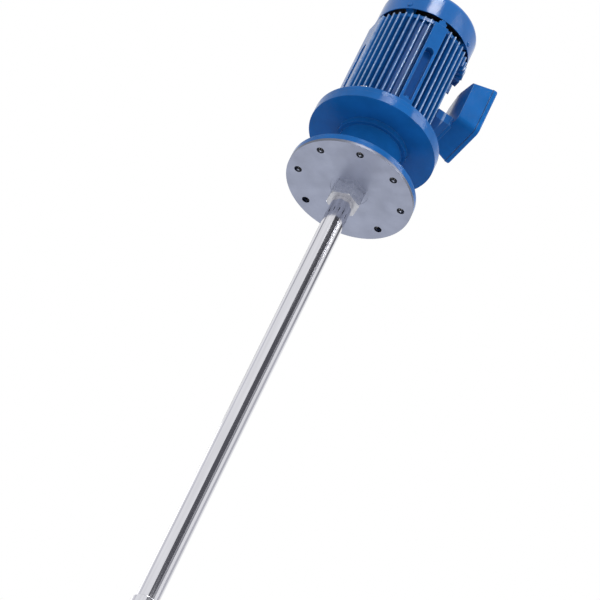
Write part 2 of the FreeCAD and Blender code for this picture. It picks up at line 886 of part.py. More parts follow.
def make_bearing_housing():
    """Cast lantern with a lower flange, a neck and an upper flange for the motor."""
    body = new_piece("bearing_housing")
    chamber = "(neck_radius - neck_wall)"
    foot_top = "(plate_thick + foot_thick)"
    turn(
        body,
        [
            ("union_spigot + fit_gap", "plate_thick"),
            ("plate_radius", "plate_thick"),
            ("plate_radius", foot_top),
            ("neck_radius", foot_top),
            ("neck_radius", f"{HEAD_FOOT} - step_tall"),
            ("step_radius", f"{HEAD_FOOT} - step_tall"),
            ("step_radius", HEAD_FOOT),
            ("flange_radius", HEAD_FOOT),
            ("flange_radius", TOP),
            ("spigot_radius + fit_gap", TOP),
            ("spigot_radius + fit_gap", f"{TOP} - spigot_deep - fit_gap"),
            (chamber, f"{TOP} - spigot_deep - fit_gap"),
            (chamber, foot_top),
            ("pair_radius + boss_wall", foot_top),
            ("pair_radius + boss_wall", BOSS_TOP),
            ("pair_radius + fit_gap", BOSS_TOP),
            ("pair_radius + fit_gap", PAIR_FOOT),
            ("union_spigot + fit_gap", PAIR_FOOT),
        ],
    )
    groove = box_points("pair_radius", "pair_radius + clip_bite", PAIR_TOP, f"{PAIR_TOP} + clip_thick")
    turn(body, groove, "clip_groove", cut=True)
    gasket_outer = "gasket_inner + gasket_wide + fit_gap"
    seat = box_points("gasket_inner - fit_gap", gasket_outer, "plate_thick - 1", "plate_thick + gasket_thick")
    turn(body, seat, "gasket_groove", cut=True)
    round_off(body, "root_round", rim_at("neck_radius", foot_top), "foot_root")
    through = "foot_thick + 1"
    holes_round(body, "hole_radius", "hole_circle", "hole_count", foot_top, through, "holes", "hole_turn")
    tapped = "bolt_long - flange_thick + 1"
    holes_round(body, "bolt_radius + fit_gap", "bolt_circle", "bolt_count", TOP, tapped, "tapped", "bolt_turn")


def make_clip(label, inner, outer, reach):
    """A spring clip, open at one side so that it can be sprung into its groove."""
    body = ring(label, inner, outer, f"{PAIR_TOP} + fit_gap", f"{PAIR_TOP} + clip_thick - fit_gap")
    mouth = new_sketch(body, "mouth_outline", "XY_Plane", f"{PAIR_TOP} + clip_thick + 1")
    add_outline(mouth, box_points("0", reach, "-clip_mouth / 2", "clip_mouth / 2"))
    push(body, mouth, "clip_thick + 2", "mouth", cut=True)


def make_spindle_bearings():
    levels = (PAIR_FOOT, f"({PAIR_FOOT} + pair_wide + fit_gap)")
    ball_bearing("spindle_bearings", "journal_radius", "pair_radius", "pair_wall", "pair_wide", levels)
    bore_outer = "pair_radius + clip_bite - fit_gap"
    make_clip("bore_circlip", "pair_radius - clip_wide", bore_outer, "pair_radius + 2 * clip_bite")
    shaft_inner = "journal_radius - clip_bite + fit_gap"
    make_clip("shaft_circlip", shaft_inner, "journal_radius + clip_wide / 2", "journal_radius + clip_wide")


def coupling_hub(label, low, high, jaw_low, jaw_high, start):
    """A hub with three jaws. The jaws of the two hubs stand between each other."""
    body = ring(label, "hub_seat_radius + fit_gap", "coupling_radius", low, high)
    profile = box_points("jaw_inner", "coupling_radius", jaw_low, jaw_high)
    jaw = turn(body, profile, "jaw", angle="jaw_angle", turned=start)
    repeat(body, jaw, "3", "jaws")
    grub = new_sketch(body, "grub_circle", "YZ_Plane", "0")
    add_circle(grub, "0", f"(({low}) + ({high})) / 2", "grub_radius + fit_gap")
    push(body, grub, "coupling_radius + 1", "grub_hole", cut=True)
    return body


def make_coupling():
    """Jaw coupling: two hubs of three jaws each and a rubber spider with six arms."""
    hub_top = f"{SHAFT_END} + upper_hub_tall"
    jaw_foot = f"{SHAFT_END} - jaw_tall"
    upper = coupling_hub("coupling_hub_upper", SHAFT_END, hub_top, jaw_foot, f"{SHAFT_END} + 1", "30")
    keyway = new_sketch(upper, "keyway_outline", "XY_Plane", f"{SHAFT_END} - 1")
    crown = "hub_seat_radius + key_stand + fit_gap"
    add_outline(keyway, box_points("0", crown, "-key_wide / 2 - fit_gap", "key_wide / 2 + fit_gap"))
    push(upper, keyway, "upper_hub_tall + 2", "keyway", cut=True, reverse=True)
    jaw_top = f"{SHAFT_TOP} + jaw_tall"
    coupling_hub("coupling_hub_lower", HUB_FOOT, SHAFT_TOP, f"{SHAFT_TOP} - 1", jaw_top, "90")
    low = f"({SHAFT_TOP} + jaw_space - jaw_tall)"
    high = f"({SHAFT_END} - jaw_space + jaw_tall)"
    spider = ring("coupling_spider", "spider_bore", "jaw_inner - slip_gap", low, high)
    profile = box_points("jaw_inner - slip_gap - 1", "coupling_radius", low, high)
    arm = turn(spider, profile, "arm", angle="arm_angle")
    repeat(spider, arm, "6", "arms")


def make_grub_screws():
    body = new_piece("coupling_grub_screws")
    start = "hub_seat_radius + fit_gap"
    lower = new_sketch(body, "lower_circle", "YZ_Plane", f"-({start})")
    add_circle(lower, "0", f"({HUB_FOOT} + {SHAFT_TOP}) / 2", "grub_radius")
    push(body, lower, "grub_long", "lower", reverse=True)
    upper = new_sketch(body, "upper_circle", "YZ_Plane", f"-({start})")
    add_circle(upper, "0", f"{SHAFT_END} + upper_hub_tall / 2", "grub_radius")
    push(body, upper, "grub_long", "upper", reverse=True)


# Motor


def make_motor_key():
    body = new_piece("motor_key")
    sketch = new_sketch(body, "outline", "XY_Plane", f"{SHAFT_END} + key_start")
    add_outline(sketch, key_box("key_stand", "key_tall", "key_wide", "hub_seat_radius"))
    push(body, sketch, "key_long", "bar")


def make_motor_flange():
    """Drive end shield: motor flange, domed wall, bearing hub and locating spigots."""
    body = new_piece("motor_flange")
    inner_lock = "(bore_radius - lock_wall)"
    spigot_inner = "(spigot_radius - spigot_wall)"
    hub = "(race_radius + hub_wall)"
    seal_top = f"({TOP} + lip_tall + seal_shelf)"
    race_top = f"({FRONT_RACE} + race_wide)"
    turn(
        body,
        [
            ("lip_radius + fit_gap", TOP),
            (spigot_inner, TOP),
            (spigot_inner, f"{TOP} - spigot_deep"),
            ("spigot_radius", f"{TOP} - spigot_deep"),
            ("spigot_radius", TOP),
            ("flange_radius", TOP),
            ("flange_radius", FLANGE_TOP),
            ("dome_foot", FLANGE_TOP),
            ("dome_radius", f"{FRAME_FOOT} - dome_straight"),
            ("dome_radius", FRAME_FOOT),
            ("bore_radius", FRAME_FOOT),
            ("bore_radius", f"{FRAME_FOOT} + lock_deep"),
            (inner_lock, f"{FRAME_FOOT} + lock_deep"),
            (inner_lock, f"{TOP} + dome_floor"),
            (hub, f"{TOP} + dome_floor"),
            (hub, race_top),
            ("race_radius + fit_gap", race_top),
            ("race_radius + fit_gap", FRONT_RACE),
            ("motor_shoulder", FRONT_RACE),
            ("motor_shoulder", seal_top),
            ("lip_radius + fit_gap", seal_top),
        ],
    )
    round_off(body, "flange_round", rim_at("flange_radius", FLANGE_TOP), "flange_edge")
    # Scoops in the dome make room for a spanner on the flange bolts.
    rise = "shield_tall - flange_thick"
    holes_round(body, "bolt_scoop", "bolt_circle", "bolt_count", FRAME_FOOT, rise, "scoops", "bolt_turn")
    hole = "bolt_radius + fit_gap"
    through = "flange_thick + 1"
    holes_round(body, hole, "bolt_circle", "bolt_count", FLANGE_TOP, through, "bolt_holes", "bolt_turn")
    tie_hole = "tie_radius + fit_gap"
    holes_round(body, tie_hole, "tie_circle", "tie_count", FRAME_FOOT, "tie_bite", "tie_holes")


def make_flange_bolts():
    seat = f"({FLANGE_TOP} + lock_washer)"
    low = f"({FLANGE_TOP} - bolt_long)"
    top = f"({seat} + bolt_head)"
    circle = "bolt_circle"
    hex_bolts("flange_bolts", circle, "bolt_turn", "bolt_radius", "bolt_flats", low, seat, top, "bolt_count")
    washers = new_piece("flange_washers")
    sketch = new_sketch(washers, "outline", "XY_Plane", FLANGE_TOP, "bolt_turn")
    add_circle(sketch, circle, "0", "bolt_radius + lock_wide")
    add_circle(sketch, circle, "0", "bolt_radius + fit_gap")
    made = push(washers, sketch, "lock_washer", "washer")
    repeat(washers, made, "bolt_count", "pattern")


def fin_fan(body, name, start, count, backward):
    """Radial fins that fan out from beside one of the frame's pads."""
    sketch = new_sketch(body, f"{name}_outline", "XY_Plane", FRAME_FOOT, start)
    root = f"{BARREL} - 1"
    tip = "fin_thick * 0.36"
    add_outline(sketch, [(root, "-fin_thick / 2"), ("fin_radius", f"-{tip}"), ("fin_radius", tip), (root, "fin_thick / 2")])
    fin = push(body, sketch, "frame_long", name)
    repeat(body, fin, count, f"{name}_fan", f"fin_pitch * ({count} - 1)", backward)


def add_block(body, name, level, outline, tall):
    """An upright block on the frame."""
    sketch = new_sketch(body, f"{name}_outline", "XY_Plane", level)
    add_outline(sketch, outline)
    push(body, sketch, tall, name)


def make_motor_frame():
    """Cast frame with radial cooling fins, three smooth pads and a seat for the terminal box."""
    body = ring("motor_frame", "bore_radius + fit_gap", BARREL, FRAME_FOOT, FRAME_TOP)
    fin_fan(body, "front_left", "-90 - fin_start", "fins_left", True)
    fin_fan(body, "front_right", "-90 + fin_start", "fins_right", False)
    fin_fan(body, "back_left", "90 + fin_start", "fins_left", False)
    fin_fan(body, "back_right", "90 - fin_start", "fins_right", True)
    # The fins stop short round the terminal box.
    clearance = box_points(BARREL, "fin_radius + 3", f"{FRAME_FOOT} - 1", f"{FRAME_FOOT} + clear_long")
    turn(body, clearance, "box_clearance", cut=True, angle="2 * clear_half_angle")
    root = f"({BARREL} - 3)"
    add_block(body, "front_pad", FRAME_FOOT, wide_points("pad_wide", "-pad_radius", f"-{root}"), "frame_long")
    add_block(body, "back_pad", FRAME_FOOT, wide_points("pad_wide", root, "pad_radius"), "frame_long")
    side = box_points("-back_pad_radius", f"-{root}", "-back_pad_wide / 2", "back_pad_wide / 2")
    add_block(body, "side_pad", FRAME_FOOT, side, "frame_long")
    # Lugs for the end shield bolts on the side of the terminal box.
    lug = box_points(root, "pad_radius", "-lug_wide / 2", "lug_wide / 2")
    add_block(body, "lower_lug", FRAME_FOOT, lug, "lug_thick")
    add_block(body, "upper_lug", f"{FRAME_TOP} - tie_bite", lug, "tie_bite")
    seat = new_sketch(body, "seat_outline", "YZ_Plane", root)
    add_outline(seat, wide_points("seat_wide", "seat_level", "seat_level + seat_tall"))
    push(body, seat, f"box_inner - {root}", "seat")
    # Channels that give a spanner room above the drive end bolts.
    low = f"({FRAME_FOOT} + lug_thick)"
    high = f"({FRAME_FOOT} + channel_long)"
    for name, plane, floor, outward in (
        ("front_channel", "XZ_Plane", BARREL, True),
        ("back_channel", "XZ_Plane", f"-{BARREL}", False),
        ("side_channel", "YZ_Plane", f"-{BARREL}", False),
    ):
        channel = new_sketch(body, f"{name}_outline", plane, floor)
        add_outline(channel, wide_points("channel_wide", low, high))
        push(body, channel, "pad_radius", name, cut=True, reverse=outward)
        crown = new_sketch(body, f"{name}_crown", plane, floor)
        add_circle(crown, "0", high, "channel_wide / 2")
        push(body, crown, "pad_radius", f"{name}_end", cut=True, reverse=outward)
    hole = "tie_radius + fit_gap"
    holes_round(body, hole, "tie_circle", "tie_count", low, "lug_thick + 1", "lower_holes")
    holes_round(body, hole, "tie_circle", "tie_count", FRAME_TOP, "tie_bite", "upper_holes")
    wire = new_sketch(body, "wire_circle", "YZ_Plane", "bore_radius - 2")
    add_circle(wire, "0", SEAT_HOLES, "wire_radius")
    push(body, wire, "box_inner", "wire_way", cut=True, reverse=True)
    screws = new_sketch(body, "screw_circles", "YZ_Plane", "box_inner + 1")
    add_seat_circles(screws, "box_screw_radius + fit_gap")
    push(body, screws, "box_screw_bite + 1.5", "screw_holes", cut=True)


def add_seat_circles(sketch, radius):
    """The two screws that hold the terminal box to its seat."""
    for left in ("-", ""):
        add_circle(sketch, f"{left}seat_screw_across", SEAT_HOLES, radius)


def make_tie_bolts():
    """Bolts that hold the two end shields to the frame."""
    low = f"({FRAME_FOOT} - tie_bite + 1)"
    seat = f"({FRAME_FOOT} + lug_thick)"
    top = f"({seat} + tie_head)"
    hex_bolts("drive_end_bolts", "tie_circle", "0", "tie_radius", "tie_flats", low, seat, top, "tie_count")
    low = f"({FRAME_TOP} - tie_bite + 1)"
    seat = f"({FRAME_TOP} + rear_rim)"
    top = f"({seat} + tie_head)"
    hex_bolts("rear_end_bolts", "tie_circle", "0", "tie_radius", "tie_flats", low, seat, top, "tie_count")


def make_stator_core():
    body = ring("motor_stator_core", "air_radius", "bore_radius", CORE_FOOT, CORE_TOP)
    slot = new_sketch(body, "slot_outline", "XY_Plane", f"{CORE_TOP} + 1")
    inner = "(air_radius + core_lip)"
    half = "core_slot_wide / 2"
    add_outline(slot, box_points(inner, f"{inner} + core_slot_deep", f"-{half}", half))
    cut = push(body, slot, "core_long + 2", "slot", cut=True)
    repeat(body, cut, "core_slots", "slots")


def make_windings():
    """Coil ends above and below the stator core, joined through its slots."""
    body = new_piece("motor_windings")
    inner = "(air_radius + core_lip + fit_gap)"
    outer = "(air_radius + core_lip + core_slot_deep - fit_gap)"
    bevel = 4
    for name, low, high in (
        ("lower_end", f"({CORE_FOOT} - winding_tall)", f"({CORE_FOOT} - 1)"),
        ("upper_end", f"({CORE_TOP} + 1)", f"({CORE_TOP} + winding_tall)"),
    ):
        turn(
            body,
            [
                (f"{inner} + 1", low),
                (f"{outer} - 1", low),
                (f"{outer} + 1", f"{low} + {bevel}"),
                (f"{outer} + 1", f"{high} - {bevel}"),
                (f"{outer} - 1", high),
                (f"{inner} + 1", high),
                (inner, f"{high} - {bevel}"),
                (inner, f"{low} + {bevel}"),
            ],
            name,
        )
    bar = new_sketch(body, "bar_outline", "XY_Plane", f"{CORE_FOOT} - 2")
    half = "(core_slot_wide / 2 - fit_gap)"
    add_outline(bar, box_points(f"{inner} + 1", f"{outer} - 1", f"-{half}", half))
    made = push(body, bar, "core_long + 4", "bar")
    repeat(body, made, "core_slots", "bars")


def make_rotor_core():
    """Laminated rotor of the motor, with its cast cage."""
    core = ring("motor_rotor_core", "core_seat + fit_gap", "air_radius - ring_gap", CORE_FOOT, CORE_TOP)
    tunnel = "bar_radius + fit_gap"
    holes_round(core, tunnel, "bar_circle", "bar_count", CORE_TOP, "core_long + 1", "tunnels")
    body = new_piece("motor_rotor_cage")
    outer = "(air_radius - 1)"
    inner = f"({outer} - cage_wide)"
    vanes = []
    for name, level, downward in (("lower", CORE_FOOT, True), ("upper", CORE_TOP, False)):
        low = f"{level} - cage_tall" if downward else level
        turn(body, box_points(inner, outer, low, f"{low} + cage_tall"), f"{name}_ring")
        vane = new_sketch(body, f"{name}_vane_outline", "XY_Plane", level)
        add_outline(vane, box_points(f"{inner} + 1", f"{outer} - 2", "-1", "1"))
        vanes.append(push(body, vane, "cage_tall + cage_vane_tall", f"{name}_vane", reverse=downward))
    repeat(body, vanes, "cage_vanes", "vanes")
    bar = new_sketch(body, "bar_circle", "XY_Plane", f"{CORE_FOOT} - cage_tall / 2")
    add_circle(bar, "bar_circle", "0", "bar_radius")
    made = push(body, bar, "core_long + cage_tall", "bar")
    repeat(body, made, "bar_count", "bars")


def make_motor_shaft():
    body = new_piece("motor_shaft")
    front_top = f"({FRONT_RACE} + race_wide)"
    clip = f"({FAN_TOP})"
    turn(
        body,
        [
            ("0", SHAFT_END),
            ("hub_seat_radius - 1", SHAFT_END),
            ("hub_seat_radius", f"{SHAFT_END} + 1"),
            ("hub_seat_radius", TOP),
            ("motor_journal", TOP),
            ("motor_journal", front_top),
            ("motor_shoulder", front_top),
            ("motor_shoulder", f"{CORE_FOOT} - core_collar"),
            ("core_seat", f"{CORE_FOOT} - core_collar"),
            ("core_seat", f"{CORE_TOP} + core_collar"),
            ("motor_shoulder", f"{CORE_TOP} + core_collar"),
            ("motor_shoulder", REAR_RACE),
            ("motor_journal", REAR_RACE),
            ("motor_journal", REAR_RACE_TOP),
            ("fan_seat", REAR_RACE_TOP),
            ("fan_seat", clip),
            ("fan_seat - 1", clip),
            ("fan_seat - 1", f"{clip} + fan_clip"),
            ("fan_seat", f"{clip} + fan_clip"),
            ("fan_seat", f"{clip} + fan_clip * 3"),
            ("0", f"{clip} + fan_clip * 3"),
        ],
    )
    keyway = new_sketch(body, "keyway_outline", "XY_Plane", f"{SHAFT_END} + key_start - fit_gap")
    add_outline(keyway, key_box("key_stand", "key_tall", "key_wide", "hub_seat_radius", "fit_gap"))
    push(body, keyway, "key_long + 2 * fit_gap", "keyway", cut=True, reverse=True)


def make_motor_bearings():
    ball_bearing("front_bearing", "motor_journal", "race_radius", "race_wall", "race_wide", [FRONT_RACE])
    ball_bearing("rear_bearing", "motor_journal", "race_radius", "race_wall", "race_wide", [REAR_RACE])
    washer_top = f"{REAR_RACE_TOP} + washer_thick"
    ring("preload_washer", "race_radius - washer_wide", "race_radius - fit_gap", REAR_RACE_TOP, washer_top)


def make_rear_end_shield():
    """Non-drive end shield with its bearing hub, bolt lugs and lugs for the cowl."""
    body = new_piece("rear_end_shield")
    seat_top = f"({REAR_RACE_TOP} + washer_thick)"
    hub = "(race_radius + hub_wall)"
    inner_lock = "(bore_radius - lock_wall)"
    turn(
        body,
        [
            ("motor_journal + 1", seat_top),
            ("race_radius + fit_gap", seat_top),
            ("race_radius + fit_gap", FRAME_TOP),
            (hub, FRAME_TOP),
            (hub, f"{FRAME_TOP} + rear_floor"),
            (inner_lock, f"{FRAME_TOP} + rear_floor"),
            (inner_lock, f"{FRAME_TOP} - lock_deep"),
            ("bore_radius", f"{FRAME_TOP} - lock_deep"),
            ("bore_radius", FRAME_TOP),
            ("rear_radius", FRAME_TOP),
            ("rear_radius", f"{FRAME_TOP} + rear_rim"),
            ("tie_circle - tie_flats * 0.65", f"{FRAME_TOP} + rear_rim"),
            ("tie_circle - tie_flats", f"{FRAME_TOP} + rear_tall"),
            (hub, f"{FRAME_TOP} + rear_tall"),
            (hub, f"{FRAME_TOP} + rear_hub_tall"),
            ("motor_journal + 1", f"{FRAME_TOP} + rear_hub_tall"),
        ],
    )
    bolt_lug = new_sketch(body, "bolt_lug_outline", "XY_Plane", FRAME_TOP)
    add_outline(bolt_lug, box_points("rear_radius - 8", "lug_reach", "-lug_wide / 2", "lug_wide / 2"))
    made = push(body, bolt_lug, "rear_rim", "bolt_lug")
    repeat(body, made, "tie_count", "bolt_lugs")
    # Each cowl lug is a post on the shield with an arm that the cowl slides over.
    half = "cowl_lug_wide / 2"
    outer = f"sqrt((cowl_radius - cowl_wall - fit_gap)^2 - ({half})^2)"
    inner = "(cowl_radius - cowl_wall - 2 * cowl_lug_deep)"
    post = new_sketch(body, "post_outline", "XY_Plane", f"{FRAME_TOP} + rear_rim / 2", "cowl_lug_turn")
    add_outline(post, box_points(inner, f"{inner} + cowl_lug_deep", f"-{half}", half))
    foot = push(body, post, "cowl_screw_level - rear_rim / 2", "post")
    arm_foot = f"{COWL_SCREWS} - cowl_lug_tall / 2"
    arm = new_sketch(body, "arm_outline", "XY_Plane", arm_foot, "cowl_lug_turn")
    add_outline(arm, box_points(inner, outer, f"-{half}", half))
    reach = push(body, arm, "cowl_lug_tall", "arm")
    repeat(body, [foot, reach], "4", "cowl_lugs")
    hole = "tie_radius + fit_gap"
    holes_round(body, hole, "tie_circle", "tie_count", f"{FRAME_TOP} + rear_rim", "rear_rim + 1", "tie_holes")
    screw_hole(body, "cowl_tapped")


def screw_hole(body, name):
    """Radial holes for the cowl screws."""
    start = "cowl_radius - cowl_screw_long - fit_gap"
    profile = box_points(start, "cowl_radius + 1", COWL_SCREWS, f"{COWL_SCREWS} + cowl_screw_radius + fit_gap")
    axis = (("0", COWL_SCREWS), ("100", COWL_SCREWS))
    drilled = turn(body, profile, name, axis=axis, cut=True, turned="cowl_lug_turn")
    repeat(body, drilled, "4", f"{name}_pattern")


def make_cooling_fan():
    """Radial fan: a dished disc on a hub, with straight blades that face the grille."""
    body = new_piece("cooling_fan")
    dish = "(fan_radius - fan_dish)"
    turn(
        body,
        [
            ("fan_seat + fit_gap", FAN_FOOT),
            (dish, FAN_FOOT),
            ("fan_radius", f"{FAN_FOOT} + fan_rise"),
            ("fan_radius", f"{FAN_FOOT} + fan_rise + fan_disc"),
            (dish, f"{FAN_FOOT} + fan_disc"),
            ("fan_hub", f"{FAN_FOOT} + fan_disc"),
            ("fan_hub", FAN_TOP),
            ("fan_seat + fit_gap", FAN_TOP),
        ],
    )
    blade = new_sketch(body, "blade_profile", "XZ_Plane")
    add_outline(
        blade,
        [
            ("fan_hub - 1", f"{FAN_FOOT} + fan_disc / 2"),
            (dish, f"{FAN_FOOT} + fan_disc / 2"),
            ("fan_radius", f"{FAN_FOOT} + fan_rise + fan_disc / 2"),
            ("fan_radius", f"{FAN_TOP} - fan_disc"),
            ("fan_radius - fan_disc", FAN_TOP),
            ("fan_hub - 1", f"{FAN_TOP} - 2 * fan_disc"),
        ],
    )
    made = push(body, blade, "fan_blade", "blade", both=True)
    repeat(body, made, "fan_blades", "blades")


def make_fan_clip():
    low = f"({FAN_TOP} + fit_gap)"
    high = f"({FAN_TOP} + fan_clip - fit_gap)"
    body = ring("fan_circlip", "fan_seat - 1 + fit_gap", "fan_seat + 2 * fan_clip", low, high)
    mouth = new_sketch(body, "mouth_outline", "XY_Plane", f"{FAN_TOP} + 2 * fan_clip")
    add_outline(mouth, box_points("0", "fan_seat + 3 * fan_clip", "-clip_mouth / 2", "clip_mouth / 2"))
    push(body, mouth, "3 * fan_clip", "mouth", cut=True)


def make_fan_cowl():
    """Pressed cowl over the fan, with a rounded end and a grille of radial slots in three rings."""
    body = new_piece("fan_cowl")
    turn(body, box_points("0", "cowl_radius", COWL_FOOT, COWL_TOP), "shell")
    round_off(body, "cowl_round", rim_at("cowl_radius", COWL_TOP), "end_round")
    bend = "(cowl_radius - cowl_round)"
    bend_level = f"({COWL_TOP} - cowl_round)"
    turn(body, box_points("0", "cowl_radius - cowl_wall", f"{COWL_FOOT} - 1", bend_level), "hollow", cut=True)
    turn(body, box_points("0", bend, f"{bend_level} - 1", f"{COWL_TOP} - cowl_wall"), "end_hollow", cut=True)
    elbow = new_sketch(body, "elbow_profile", "XZ_Plane")
    add_circle(elbow, bend, bend_level, "cowl_round - cowl_wall")
    inside = add_feature(body, "Groove", "elbow")
    inside.Profile = elbow
    inside.ReferenceAxis = (origin_part(body, "Z_Axis"), [""])
    inside.Angle = 360
    half = "grille_slot / 2"
    for number, count in enumerate(("16", "26", "36")):
        inner = f"(grille_inner + {number} * (grille_ring + grille_web))"
        sketch = new_sketch(body, f"slot_{number}_outline", "XY_Plane", f"{COWL_TOP} + 1")
        add_outline(sketch, box_points(inner, f"{inner} + grille_ring", f"-{half}", half))
        slot = push(body, sketch, "cowl_wall + 2", f"slot_{number}", cut=True)
        repeat(body, slot, count, f"slots_{number}")
    screw_hole(body, "screw_holes")


def make_cowl_screws():
    """Pan head screws that hold the cowl to the lugs of the rear shield."""
    body = new_piece("cowl_screws")
    inner = "cowl_radius - cowl_screw_long"
    turn(
        body,
        [
            (inner, COWL_SCREWS),
            (inner, f"{COWL_SCREWS} + cowl_screw_radius"),
            ("cowl_radius", f"{COWL_SCREWS} + cowl_screw_radius"),
            ("cowl_radius", f"{COWL_SCREWS} + cowl_screw_head"),
            ("cowl_radius + cowl_screw_radius * 0.6", f"{COWL_SCREWS} + cowl_screw_head * 0.9"),
            ("cowl_radius + cowl_screw_radius", f"{COWL_SCREWS} + cowl_screw_head / 2"),
            ("cowl_radius + cowl_screw_radius", COWL_SCREWS),
        ],
        "screw",
        axis=(("0", COWL_SCREWS), ("100", COWL_SCREWS)),
        turned="cowl_lug_turn",
    )
    repeat(body, body.Tip, "4", "pattern")


# Terminal box


def box_outline(grow):
    """The rectangle of the terminal box's mouth, grown on every side."""
    low = f"box_level - ({grow})"
    return wide_points(f"(box_wide + 2 * ({grow}))", low, f"box_level + box_tall + ({grow})")


def add_lid_circles(sketch, radius):
    """The four lid screws near the corners of the box."""
    across = "(box_wide / 2 - lid_screw_inset)"
    along = "(box_tall / 2 - lid_screw_inset)"
    for left in ("-", ""):
        for down in ("-", "+"):
            add_circle(sketch, f"{left}{across}", f"{BOX_MIDDLE} {down} {along}", radius)


def make_terminal_box_base():
    """Drafted box on the frame's seat, open outwards, with a boss for the cable gland."""
    body = new_piece("terminal_box_base")
    back = new_sketch(body, "back_outline", "YZ_Plane", "box_inner")
    add_outline(back, box_outline("-box_draft"))
    walls = push(body, back, "box_deep", "walls")
    walls.setExpression("TaperAngle", sized("atan(box_draft / box_deep)"))
    round_off(body, "box_round", slanted_corner, "corners")
    # The back is hipped: it slopes away from the motor towards both sides.
    run = "(box_wide / 2 - box_draft - hip_flat / 2)"
    far = f"box_inner + hip_deep * (box_wide - hip_flat / 2) / {run}"
    for name, side in (("front_hip", "-"), ("back_hip", "")):
        hip = new_sketch(body, f"{name}_outline", "XY_Plane", "box_level - 1")
        edge = f"{side}(hip_flat / 2)"
        end = f"{side}box_wide"
        outside = "box_inner - 1"
        add_outline(hip, [("box_inner", edge), (far, end), (outside, end), (outside, edge)])
        push(body, hip, "box_tall + 2", name, cut=True, reverse=True)
    seat = new_sketch(body, "seat_outline", "YZ_Plane", "box_inner")
    add_outline(seat, wide_points("seat_wide", "seat_level", "seat_level + seat_tall"))
    push(body, seat, "hip_deep + box_wall / 2", "seat")
    boss = new_sketch(body, "boss_circle", "XZ_Plane", f"-({GLAND_WALL})")
    add_circle(boss, GLAND_ACROSS, GLAND_UP, "gland_boss")
    push(body, boss, "box_draft + gland_boss_stand + box_wall", "gland_seat", cut=False)
    hollow = new_sketch(body, "hollow_outline", "YZ_Plane", BOX_OUTER)
    add_outline(hollow, box_outline("-box_draft - box_wall"))
    push(body, hollow, f"{BOX_OUTER} - {BOX_FLOOR}", "hollow", cut=True)
    gland = new_sketch(body, "gland_circle", "XZ_Plane", f"-({GLAND_WALL} + 1)")
    add_circle(gland, GLAND_ACROSS, GLAND_UP, "gland_radius + fit_gap")
    push(body, gland, "box_draft + box_wall + 6", "gland_hole", cut=True, reverse=True)
    floor = new_sketch(body, "floor_circles", "YZ_Plane", BOX_FLOOR)
    add_seat_circles(floor, "box_screw_radius + fit_gap")
    add_circle(floor, "0", SEAT_HOLES, "wire_radius")
    push(body, floor, f"{BOX_FLOOR} - box_inner + 1", "floor_holes", cut=True)
    lid_holes = new_sketch(body, "lid_hole_circles", "YZ_Plane", BOX_OUTER)
    add_lid_circles(lid_holes, "lid_screw_radius + fit_gap")
    push(body, lid_holes, "lid_screw_long - lid_thick + lid_screw_sink", "lid_holes", cut=True)


def make_box_gasket():
    body = new_piece("terminal_box_gasket")
    sketch = new_sketch(body, "outline", "YZ_Plane", BOX_OUTER)
    add_outline(sketch, box_outline("0"))
    push(body, sketch, "box_seal", "sheet")
    round_off(body, "box_round", slanted_corner, "corners")
    hollow = new_sketch(body, "hollow_outline", "YZ_Plane", LID_FOOT)
    add_outline(hollow, box_outline("-box_draft - box_wall"))
    push(body, hollow, "2 * box_seal", "hollow", cut=True)
    holes = new_sketch(body, "hole_circles", "YZ_Plane", LID_FOOT)
    add_lid_circles(holes, "lid_screw_radius + fit_gap")
    push(body, holes, "2 * box_seal", "holes", cut=True)


def make_box_lid():
    """Shallow lid with rounded corners and edge, and sunk seats for its four screws."""
    body = new_piece("terminal_box_lid")
    sketch = new_sketch(body, "outline", "YZ_Plane", LID_FOOT)
    add_outline(sketch, box_outline("lid_lip"))
    push(body, sketch, "lid_thick", "plate")
    round_off(body, "box_round + lid_lip", slanted_corner, "corners")
    face = worked_out(LID_FACE)
    round_off(body, "lid_round", lambda edge: edge.BoundBox.XMin > face - 0.01, "face_edge")
    hollow = new_sketch(body, "hollow_outline", "YZ_Plane", LID_FOOT)
    add_outline(hollow, box_outline("-box_draft - box_wall"))
    push(body, hollow, "lid_thick - lid_skin", "hollow", cut=True, reverse=True)
    sinks = new_sketch(body, "sink_circles", "YZ_Plane", LID_FACE)
    add_lid_circles(sinks, "lid_screw_head + slip_gap")
    push(body, sinks, "lid_screw_sink", "sinks", cut=True)
    holes = new_sketch(body, "hole_circles", "YZ_Plane", LID_FACE)
    add_lid_circles(holes, "lid_screw_radius + fit_gap")
    push(body, holes, "lid_thick + 1", "holes", cut=True)


def make_box_screws():
    lid = new_piece("lid_screws")
    seat = f"({LID_FACE} - lid_screw_sink)"
    shank = new_sketch(lid, "shank_circles", "YZ_Plane", f"{LID_FACE} - lid_screw_long")
    add_lid_circles(shank, "lid_screw_radius")
    push(lid, shank, "lid_screw_long - lid_screw_sink", "shanks")
    caps = new_sketch(lid, "head_circles", "YZ_Plane", seat)
    add_lid_circles(caps, "lid_screw_head")
    push(lid, caps, "lid_screw_sink", "heads")
    base = new_piece("box_base_screws")
    stems = new_sketch(base, "shank_circles", "YZ_Plane", "box_inner - box_screw_bite")
    add_seat_circles(stems, "box_screw_radius")
    push(base, stems, f"{BOX_FLOOR} - box_inner + box_screw_bite", "shanks")
    heads = new_sketch(base, "head_circles", "YZ_Plane", BOX_FLOOR)
    add_seat_circles(heads, "box_screw_head")
    push(base, heads, "box_screw_radius", "heads")


def stud_places():
    """The places of the six terminal screws, in two rows of three."""
    for row in ("-", "+"):
        for column in ("-stud_pitch", "0", "stud_pitch"):
            yield column, f"{BLOCK_MIDDLE} {row} stud_row / 2"


